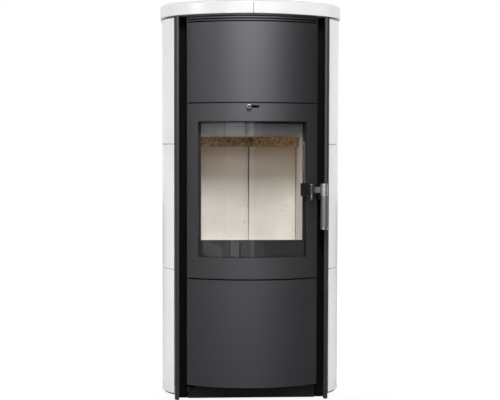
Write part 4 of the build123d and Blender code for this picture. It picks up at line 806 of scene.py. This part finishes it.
# %% [markdown]
# ## The fire door
#
# The door is the same rolled panel with a big window, whose corners are slightly rounded, and
# a short slot for the air slider's knob. Six small round studs with a drilled hole are welded
# inside, and hold the clips of the glass. One stud is modelled and copied five times.

# %% Fire door panel
WINDOW_HALF, WINDOW_LOW, WINDOW_HIGH, WINDOW_CORNER = 0.161, 0.4355, 0.8375, 0.0025
SLOT = (-0.016, 0.0172, 0.8764, 0.8834)
STUD_X, STUD_LEVELS = 0.185, (0.46766, 0.6365, 0.80534)
STUD_RADIUS, STUD_LENGTH, STUD_WALL, STUD_DRILLED = 0.0045, 0.006, 0.0019, 0.005

door = curved_skin("fire_door_panel", "door_panel")
cut_opening(-WINDOW_HALF, WINDOW_HALF, WINDOW_LOW, WINDOW_HIGH)
pick("verts", lambda corner: abs(abs(corner.co.x) - WINDOW_HALF) < NEAR and corner.co.y < ARC_END
     and min(abs(corner.co.z - WINDOW_LOW), abs(corner.co.z - WINDOW_HIGH)) < NEAR)
bpy.ops.mesh.bevel(offset=WINDOW_CORNER, segments=5, affect="VERTICES")
cut_opening(*SLOT)
thicken(door)

stud_turn = math.asin(STUD_X / ROUND)
stud_middle = ROUND - SHEET - STUD_LENGTH / 2
inward = Vector((-math.sin(stud_turn), math.cos(stud_turn), 0))
stud_place = Vector((0, AXIS_Y, STUD_LEVELS[1])) - stud_middle * inward
stud = start(bpy.ops.mesh.primitive_cylinder_add, "stud", vertices=32, radius=STUD_RADIUS,
             depth=STUD_LENGTH, location=stud_place, rotation=(math.pi / 2, 0, stud_turn))
pick("faces", lambda face: face.normal.dot(inward) > 0.9)
bpy.ops.mesh.inset(thickness=STUD_WALL)
push(*(-STUD_DRILLED * inward))
pick("edges", lambda edge: (middle(edge) - stud_place).dot(inward) > STUD_LENGTH / 2 - NEAR)
bpy.ops.mesh.bevel(offset=EASED, segments=2)
for z in (STUD_LEVELS[0], STUD_LEVELS[2]):
    pick("faces", lambda face: abs(middle(face).z - STUD_LEVELS[1]) < 2 * STUD_RADIUS)
    bpy.ops.mesh.duplicate_move(TRANSFORM_OT_translate={"value": (0, 0, z - STUD_LEVELS[1])})
weld(door, stud, twin(stud, "left_studs"))
done(door, front_paint, "fire_door", "front_paint", "door_panel")

# %% [markdown]
# ## The louvre
#
# Warm air leaves through three slots under the ceramic top. The slots lie between two thin
# blades that follow the same curve and slope up to the back, below a narrow band of the sheet.
# The band and its folded ends are a cut-out panel again. A blade is its cross-section, drawn
# at the left end and spun round the panel's axis, as a rolled strip would be.

# %% Louvre
BAND_LOW, END_HIGH = 1.1454, 1.142
BLADE_LEVELS = (1.1308, 1.1383)
BLADE_HEIGHT, BLADE_DEPTH, BLADE_LIP, BLADE_RISE = 0.0036, 0.006, 0.0012, 0.0004

louvre = curved_skin("louvre", "convection_louvre")
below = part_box("convection_louvre")[0].z - SHEET
cut((0, 0, END_HIGH), (0, 0, 1), clear=False)
pick("faces", lambda face: middle(face).z > END_HIGH and middle(face).y > ARC_END + BLADE_DEPTH / 2)
bpy.ops.mesh.delete(type="FACE")
cut_opening(SHEET - PANEL_HALF, PANEL_HALF - SHEET, below, BAND_LOW)
thicken(louvre)


def blade(name, low):
    """One blade: its section at the left end, spun to the right end and closed."""
    section = [(0, 0), (0, BLADE_HEIGHT), (BLADE_LIP, BLADE_HEIGHT),
               (BLADE_DEPTH, BLADE_HEIGHT + BLADE_RISE - BLADE_LIP), (BLADE_DEPTH, BLADE_RISE),
               (BLADE_LIP, 0)]
    turn = math.asin((PANEL_HALF - SHEET) / ROUND)
    strip = start(bpy.ops.mesh.primitive_circle_add, name, vertices=len(section),
                  radius=BLADE_DEPTH)
    mesh = bpy.context.edit_object.data
    for corner, (depth, rise) in zip(bmesh.from_edit_mesh(mesh).verts, section):
        reach = ROUND - depth
        corner.co = (-reach * math.sin(turn), AXIS_Y - reach * math.cos(turn), low + rise)
    bmesh.update_edit_mesh(mesh)
    bpy.ops.mesh.select_all(action="SELECT")
    bpy.ops.mesh.edge_face_add()
    bpy.ops.mesh.spin(steps=128, angle=-2 * turn, center=(0, AXIS_Y, 0), axis=(0, 0, 1))
    cut((PANEL_HALF - SHEET, 0, 0), (1, 0, 0), fill=True)
    cut((SHEET - PANEL_HALF, 0, 0), (-1, 0, 0), fill=True)
    face_out()
    soft_edges(strip, EASED)
    return strip


weld(louvre, *[blade("blade", low) for low in BLADE_LEVELS])
done(louvre, front_paint, "stove", "front_paint", "convection_louvre")

# %% [markdown]
# ## Tracing an outline
#
# The tiles, the posts and the top are the same all the way up, so each is best drawn as its
# outline seen from above and then raised. The outline is traced as with a pencil: a plane is
# merged to a single point, the point is extruded for each straight run, and spun for each arc.
# Then the ring is filled, and the face is extruded upwards.

# %% Helpers for outlines
def pencil(name, x, y, z):
    """A piece that is a single point, ready to be drawn on from there."""
    piece = start(bpy.ops.mesh.primitive_plane_add, name, size=0.01, location=(x, y, z))
    pick("verts", lambda corner: True)
    bpy.ops.mesh.merge(type="CENTER")
    return piece


def line(x, y):
    """Draws a straight run to x, y from the pencil's point, the one selected corner."""
    corners = bmesh.from_edit_mesh(bpy.context.edit_object.data).verts
    here = next(corner.co.copy() for corner in corners if corner.select)
    run = (x - here.x, y - here.y, 0)
    bpy.ops.mesh.extrude_vertices_move(TRANSFORM_OT_translate={"value": run})


def arc(x, y, degrees, steps):
    """Draws an arc about x, y, counterclockwise seen from above."""
    bpy.ops.mesh.spin(steps=steps, angle=-math.radians(degrees), center=(x, y, 0),
                      axis=(0, 0, 1))


def raise_outline(height):
    """Closes and fills the outline, raises it and points its faces outwards."""
    merge_doubles()
    bpy.ops.mesh.edge_face_add()
    push(z=height)
    face_out()


def flat_on(face, axis, place):
    """Whether a face lies in one plane square to an axis."""
    return abs(abs(face.normal[axis]) - 1) < 0.01 and abs(middle(face)[axis] - place) < NEAR


# %% [markdown]
# ## Ceramic top
#
# The top is cast in two halves that meet on the middle line, with a round hole for the flue
# between them. Its front follows the doors, a little proud of them, and its corners follow the
# tiles. One half is drawn up to the middle, raised and rounded along its upper and lower rim;
# the cut that makes the joint comes last, so that the rounding runs straight into it.

# %% Top plates
PLATE_ROUND, PLATE_AXIS_Y = 0.391, FRONT + 0.383
CORNER_ROUND, CORNER_X, CORNER_Y = 0.130, 0.145, FRONT + 0.16598
REAR_ROUND, JOINT_HALF, FLUE_Y, FLUE_ROUND = 0.030, 0.0006, FRONT + 0.215, 0.081
UPPER_RIM, LOWER_RIM, GLAZED_EDGE = 0.010, 0.002, 0.0008
plate_low, plate_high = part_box("top_plate_right")
front_turn = math.degrees(math.asin(CORNER_X / (PLATE_ROUND - CORNER_ROUND)))

plate = pencil("top_right", 0, PLATE_AXIS_Y - PLATE_ROUND, plate_low.z)
arc(0, PLATE_AXIS_Y, front_turn, 48)
arc(CORNER_X, CORNER_Y, 90 - front_turn, 40)
line(plate_high.x, plate_high.y - REAR_ROUND)
arc(plate_high.x - REAR_ROUND, plate_high.y - REAR_ROUND, 90, 16)
line(0, plate_high.y)
line(0, FLUE_Y + FLUE_ROUND)
arc(0, FLUE_Y, -180, 64)
raise_outline(plate_high.z - plate_low.z)


def on_rim(edge, z):
    """Whether an edge lies on the outer rim at this height, not on the joint or the hole."""
    place = middle(edge)
    in_hole = math.hypot(place.x, place.y - FLUE_Y) < FLUE_ROUND + NEAR
    level = all(abs(corner.co.z - z) < NEAR for corner in edge.verts)
    return level and place.x > NEAR and not in_hole


for z, width, segments in ((plate_high.z, UPPER_RIM, 10), (plate_low.z, LOWER_RIM, 3)):
    pick("edges", lambda edge: on_rim(edge, z))
    bpy.ops.mesh.bevel(offset=width, segments=segments)
cut((JOINT_HALF, 0, 0), (-1, 0, 0), fill=True)
face_out()
soft_edges(plate, GLAZED_EDGE, 3, 50)
done_both(plate, "top_left", glaze, "glazed_tile", "top_plate_right")

# %% [markdown]
# ## Side tiles
#
# Three glazed tiles stand on each other at each side. Each is 22 mm of fired clay that turns
# round the stove's front corner, with softly rounded edges where the glaze draws back, and a
# shallow pocket pressed into its back to save clay. The outline is traced once, raised to one
# tile, its face edges are bevelled, and the pocket is an inset face that is inset again inwards.

# %% Side tiles
TILE_THICK, TILE_CURVE, TILE_EDGE = 0.022, 0.125, 0.0025
POCKET_RIM, POCKET_DEEP, POCKET_WALL = 0.040, 0.009, 0.002
CHORD = 0.0003  # the flats of an arc lie inside its circle by less than this
tile_low, tile_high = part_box("tile_right_bottom")
near_x = tile_low.x - CORNER_X
outer_turn, inner_turn = (math.degrees(math.acos(near_x / reach))
                          for reach in (TILE_CURVE, TILE_CURVE - TILE_THICK))

first_y = CORNER_Y - TILE_CURVE * math.sin(math.radians(outer_turn))
tile = pencil("tile_low_right", tile_low.x, first_y, tile_low.z)
arc(CORNER_X, CORNER_Y, outer_turn, 26)
line(tile_high.x, tile_high.y)
line(tile_high.x - TILE_THICK, tile_high.y)
line(tile_high.x - TILE_THICK, CORNER_Y)
arc(CORNER_X, CORNER_Y, -inner_turn, 18)
raise_outline(tile_high.z - tile_low.z)
back_x = tile_high.x - TILE_THICK
pick("faces", lambda face: flat_on(face, 0, back_x) and middle(face).y > CORNER_Y)
bpy.ops.mesh.inset(thickness=POCKET_RIM)
bpy.ops.mesh.inset(thickness=POCKET_WALL, depth=-POCKET_DEEP)


def beside_face(edge):
    """Whether an edge borders the glazed face of the tile."""
    place = middle(edge)
    if place.y > CORNER_Y:
        outer = place.x > tile_high.x - NEAR
    else:
        outer = math.hypot(place.x - CORNER_X, place.y - CORNER_Y) > TILE_CURVE - CHORD
    level = abs(edge.verts[0].co.z - edge.verts[1].co.z) < NEAR
    at_end = abs(place.y - tile_high.y) < NEAR or abs(place.x - tile_low.x) < NEAR
    return outer and (level or at_end)


pick("edges", beside_face)
bpy.ops.mesh.bevel(offset=TILE_EDGE, segments=5)
soft_edges(tile, GLAZED_EDGE, 2, 50)

column = {"tile_right_bottom": tile}
for row in ("middle", "top"):
    node = f"tile_right_{row}"
    column[node] = copied(tile, f"tile_{row}_right")
    bpy.ops.transform.translate(value=(0, 0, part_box(node)[0].z - tile_low.z))
    bpy.ops.object.transform_apply(location=True, rotation=True, scale=True)
for node, right_tile in column.items():
    left_name = right_tile.name.replace("right", "left")
    done_both(right_tile, left_name, glaze, "glazed_tile", node)

# %% [markdown]
# ## The posts
#
# Between the doors and the tiles stands a folded steel post at each side. Its nose is round
# towards the tiles and flat in front, and a flange runs from its back towards the doors and
# closes the gap. The nose's arc is spun as a circle and then stretched to the oval that the
# press leaves. The flange lies in the dark, and its darker, duller black is painted shade.

# %% Posts
NOSE_LEFT, NOSE_FLAT_END, NOSE_ROUND, NOSE_DEEP = 0.2175, 0.224, 0.007, 0.012
POST_WALL, POST_EDGE, FLANGE_EDGE = 0.002, 0.0005, 0.0006
FOOT_STEPS = ((0.0003, 0.0012), (0.0007, 0.0010), (0.0020, 0.0008))
post_low, post_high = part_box("post_right")
shoulder = post_low.y + NOSE_DEEP
foot_top = post_low.z + sum(downward for _, downward in FOOT_STEPS)

post = pencil("post_nose", NOSE_LEFT, post_high.y, foot_top)
line(NOSE_LEFT, shoulder - NOSE_ROUND)
line(NOSE_FLAT_END, shoulder - NOSE_ROUND)
arc(NOSE_FLAT_END, shoulder, 90, 16)
pick("verts", lambda corner: corner.co.y < shoulder)
bpy.ops.transform.resize(value=(1, NOSE_DEEP / NOSE_ROUND, 1), center_override=(0, shoulder, 0))
pick("verts", lambda corner: abs(corner.co.y - shoulder) < NEAR / 10
     and corner.co.x > NOSE_FLAT_END)
line(post_high.x, post_high.y)
line(NOSE_LEFT, post_high.y)
merge_doubles()
push(z=post_high.z - foot_top)
pick("edges", lambda edge: max(corner.co.z for corner in edge.verts) < foot_top + NEAR)
bpy.ops.mesh.edge_face_add()
face_out()
pick("faces", lambda face: flat_on(face, 2, foot_top))
for inward, downward in FOOT_STEPS:
    bpy.ops.mesh.inset(thickness=inward, depth=downward)
work(post, "SOLIDIFY", thickness=POST_WALL, offset=-1, use_even_offset=True)
soft_edges(post, POST_EDGE)

flange = start(bpy.ops.mesh.primitive_cube_add, "flange", size=1, location=(
    (post_low.x + NOSE_LEFT) / 2, post_high.y - POST_WALL / 2, (post_low.z + post_high.z) / 2),
    scale=(NOSE_LEFT - post_low.x, POST_WALL, post_high.z - post_low.z))
pick("edges", lambda edge: abs(middle(edge).x - post_low.x) < NEAR)
bpy.ops.mesh.bevel(offset=FLANGE_EDGE, segments=3)
# painted shade: the flange is darker and duller than the nose, as the recess lies in the dark
done_both(flange, "flange_left", shade_paint, "black_paint", "post_right")
done_both(post, "post_nose_left", post_paint, "black_paint", "post_right")

# %% [markdown]
# ## The curved pane
#
# The pane is 4 mm of glass ceramic, bent to run parallel to the door. What it mirrors shows
# every flat in it, so it is modelled anew from a finely divided cylinder, cut to its width and
# given its thickness, with its edges ground a little round.

# %% Glass pane
PANE_THICK, PANE_EDGE = 0.004, 0.0008
low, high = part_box("glass_pane")
pane_glass = rolled("curved_pane", AXIS_Y - low.y, high.x, low.z, high.z, 480)
face_out()
work(pane_glass, "SOLIDIFY", thickness=PANE_THICK, offset=-1, use_even_offset=True)
soft_edges(pane_glass, PANE_EDGE, 3)
done(pane_glass, pane, "fire_door", "pane", "glass_pane")

# %% [markdown]
# ## Turned metal
#
# Three fittings come off a lathe: the slider's knob, the grip and the cap that closes it. A
# lathe works along one axis, so each piece is a disc that is extruded step by step and scaled
# in between.

# %% Helpers for turned pieces
def turned(name, node, along, profile):
    """A bar turned about an axis to fill its node's box; profile gives (radius, distance)."""
    low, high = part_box(node)
    along = Vector(along)
    length = abs((high - low).dot(along))
    place = (low + high) / 2 - along * length / 2
    steps = profile((high.x - low.x) / 2, length)
    tilt = Vector((0, 0, 1)).rotation_difference(along).to_euler()
    radius, distance = steps[0]
    bar = start(bpy.ops.mesh.primitive_circle_add, name, vertices=64, radius=radius,
                fill_type="NGON", location=place + along * distance, rotation=tilt)
    pick("faces", lambda face: True)
    for next_radius, next_distance in steps[1:]:
        push(*(along * (next_distance - distance)))
        share = next_radius / radius
        bpy.ops.transform.resize(value=(share, share, share),
                                 center_override=place + along * next_distance)
        radius, distance = next_radius, next_distance
    pick("edges", lambda edge: len(edge.link_faces) == 1)
    bpy.ops.mesh.edge_face_add()
    face_out()
    return bar


def rounded(radius, distance, edge, begins, turns=6):
    """Steps round a quarter circle at an end of a bar, the end where it begins or the other."""
    steps = []
    for turn in range(turns + 1):
        angle = math.pi / 2 * turn / turns
        near, far = edge * (1 - math.sin(angle)), edge * (1 - math.cos(angle))
        steps.append((radius - near, distance + far) if begins else (radius - far, distance - near))
    return steps


# %% [markdown]
# ## Knob, grip and cap
#
# The air slider's knob is a round head with a soft front edge, and a thin stem that goes through
# the door's slot. The grip is a straight bar, blasted to a satin grey and turned down to a fine
# neck at both ends, and a bright, softly domed cap closes it.

# %% Knob, grip and cap
KNOB_EDGE, KNOB_BACK, KNOB_LENGTH, STEM_RADIUS = 0.0025, 0.0005, 0.011, 0.0026
NECK_DEEP, NECK_HIGH, BAR_EDGE = 0.0005, 0.0012, 0.0004
CAP_TOP, CAP_EDGE, DOME = 0.0005, 0.0015, 0.0006


def knob_profile(radius, length):
    """A round head with a soft front edge, and its stem."""
    head = rounded(radius, 0, KNOB_EDGE, True)
    head += rounded(radius, KNOB_LENGTH, KNOB_BACK, False, 2)
    return head + [(STEM_RADIUS, KNOB_LENGTH), (STEM_RADIUS, length)]


def grip_profile(radius, length):
    """A straight bar with a fine neck at both ends."""
    neck = radius - NECK_DEEP
    begin = [(neck, 0), (neck, NECK_HIGH), (radius - BAR_EDGE, NECK_HIGH),
             (radius, NECK_HIGH + BAR_EDGE)]
    return begin + [(reach, length - distance) for reach, distance in reversed(begin)]


def cap_profile(radius, length):
    """A disc with a softer lower edge, and a low dome under it."""
    disc = rounded(radius, 0, CAP_TOP, True, 2) + rounded(radius, length - DOME, CAP_EDGE, False)
    return disc + [(radius * 0.6, length - DOME / 3), (radius * 0.2, length)]


knob = turned("knob", "slider_knob", (0, 1, 0), knob_profile)
done(knob, bright, "air_slider", "bright_metal", "slider_knob")
grip = turned("grip", "handle_grip", (0, 0, -1), grip_profile)
done(grip, satin, "handle", "satin_metal", "handle_grip")
cap = turned("cap", "grip_cap", (0, 0, -1), cap_profile)
done(cap, bright, "handle", "bright_metal", "grip_cap")

# %% [markdown]
# ## Edges that catch the light
#
# The remaining pieces that can be seen have the right shape, but the frame's corners are
# perfectly sharp, and nothing real is. For each of them a copy of the frame's mesh is merged
# and cleared of the lines between flat neighbours, and every sharp edge gets a small bevel:
# wide on pressed bricks and castings, and fine on sheet and machined metal.

# %% Softened copies
def softened(name, node, finish, body, slot, width):
    """A copy of a node's mesh with its sharp edges rounded, which stands for the node."""
    piece = bpy.data.objects.new(name, nodes[node].data.copy())
    bpy.context.scene.collection.objects.link(piece)
    only(piece)
    bpy.ops.object.mode_set(mode="EDIT")
    merge_doubles()
    bpy.ops.mesh.dissolve_limited(angle_limit=math.radians(0.5))
    bpy.ops.mesh.select_all(action="SELECT")
    bpy.ops.mesh.normals_make_consistent(inside=False)
    soft_edges(piece, width)
    return done(piece, finish, body, slot, node)


SOFTENED = {  # node, finish, body, slot and width of the rounding
    "rear_bricks": ("back_bricks", brick, "stove", "chamotte", 0.0015),
    "flank_bricks": ("side_bricks", brick, "stove", "chamotte", 0.0015),
    "hearth_bricks": ("floor_bricks", brick, "stove", "chamotte", 0.0012),
    "smoke_boards": ("baffle_boards", board, "stove", "vermiculite", 0.0010),
    "cast_grate": ("grate", cast_iron, "stove", "iron", 0.0008),
    "handle_foot": ("handle_bracket", handle_paint, "fire_door", "black_paint", 0.0004),
    "lever": ("handle_lever", handle_paint, "handle", "black_paint", 0.0004),
    "shaft": ("handle_shaft", shaft_metal, "handle", "bright_metal", 0.0005),
    "clamp": ("handle_clamp", clamp_metal, "handle", "bright_metal", 0.0003),
    "plinth": ("plinth_front", black_paint, "stove", "black_paint", 0.0005),
}
copies = {name: softened(name, *values) for name, values in SOFTENED.items()}

# %% [markdown]
# ## The bracket's foot
#
# The bracket that carries the handle grips the edge of the door's window with a flat foot, which
# reaches a little way over the pane. It is a small plate: a block drawn out to size, its free
# end pressed thinner, turned to the door's curve there and set on the door's face.

# %% Foot plate
FOOT_SIZE, FOOT_PRESSED = (0.0225, 0.0050, 0.0405), (1.0, 0.6, 0.94)
FOOT_X, FOOT_HEIGHT, FOOT_REACH, FOOT_EDGE = 0.1513, 0.6360, 0.3624, 0.0006

slant = math.asin(FOOT_X / ROUND)
foot_place = (FOOT_REACH * math.sin(slant), AXIS_Y - FOOT_REACH * math.cos(slant), FOOT_HEIGHT)
foot = start(bpy.ops.mesh.primitive_cube_add, "foot_plate", size=1)
bpy.ops.transform.resize(value=FOOT_SIZE)
pick("faces", lambda face: face.normal.x < -0.9)
bpy.ops.transform.resize(value=FOOT_PRESSED)
bpy.ops.mesh.select_all(action="SELECT")
bpy.ops.transform.rotate(value=-slant, orient_axis="Z", center_override=(0, 0, 0))
bpy.ops.transform.translate(value=foot_place)
face_out()
soft_edges(foot, FOOT_EDGE)
done(foot, black_paint, "fire_door", "black_paint")

# %% [markdown]
# ## Joints between the bricks
#
# Bricks are pressed, so they are never quite true. The two at the back lean apart a little
# towards their top, and stand clear of the side bricks, which leaves dark lines. The boards
# above them meet as loosely. The finished pieces are opened again in edit mode, and their
# corners are picked by place and moved.

# %% Open the joints
JOINT_OPENING, SIDE_GAP, BOARD_JOINT = 0.0018, 0.0014, 0.0030
CORNER_REACH, TOP_REACH = 0.004, 0.01


def shift(piece, distance, test):
    """Moves the corners of a finished piece that pass a test sideways."""
    open_up(piece)
    count = pick("verts", test)
    bpy.ops.transform.translate(value=(distance, 0, 0))
    bpy.ops.object.mode_set(mode="OBJECT")
    print("moved", count, "corners of", piece.name, "by", round(distance * 1000, 1), "mm")


bricks, boards = copies["rear_bricks"], copies["smoke_boards"]
brick_end, brick_top = (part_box("back_bricks")[1][axis] for axis in (0, 2))
for side in (-1, 1):
    shift(bricks, side * JOINT_OPENING, lambda corner: 0 < corner.co.x * side < CORNER_REACH
          and corner.co.z > brick_top - TOP_REACH)
    shift(bricks, -side * SIDE_GAP, lambda corner: corner.co.x * side > brick_end - CORNER_REACH)
    shift(boards, side * JOINT_OPENING / 2,
          lambda corner: 0 < (corner.co.x - BOARD_JOINT) * side < CORNER_REACH)

# %% [markdown]
# ## A finish for every piece
#
# The pieces of the frame that stay as they are get the finish of their real counterparts, save
# the hinges and the air slider, which lie in the dark and get painted shade. The list is by
# finish, and the last lines print any piece that was forgotten.

# %% Dress the frame
FINISHES = {
    black_paint: ["door_frame", "lower_door_frame", "slider_guide", "latch_catch"],
    # painted shade: the hinges and the slider plate behind its slot lie in the dark
    shade_paint: ["hinge_brackets", "hinge_pins", "air_slider"],
    fire_paint: ["front_frame", "firebox_shell", "air_box"],
    flame_steel: ["air_wash_deflector"],
    inner_paint: ["base_plate", "casing_side_left", "casing_side_right", "firebox_shelf",
                  "top_frame", "tile_carriers", "rear_panel"],
    sheet_steel: ["rear_heat_shield", "flue_collar", "air_inlet_spigot", "ash_pan",
                  "glass_clips", "magnet_catch"],
    zinc: ["body_screws", "glass_clip_screws", "levelling_feet", "feet_locknuts", "handle_pin"],
    rope: ["door_gasket", "glass_gasket"],
    silicone: ["top_pads"],
}
for finish, names in FINISHES.items():
    for name in names:
        for place in nodes[name].material_slots:
            place.material = finish
dressed = {name for names in FINISHES.values() for name in names}
shown = {name for name in nodes if not nodes[name].hide_render}
print("without a finish:", sorted(shown - dressed))

# %% [markdown]
# ## Plain colours and the finished size
#
# The Standard view shows a colour as it is written. The finished stove's box is printed.

# %% Finish
bpy.context.scene.view_settings.view_transform = "Standard"
low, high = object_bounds()
print("finished box", [round(v, 4) for v in high - low])
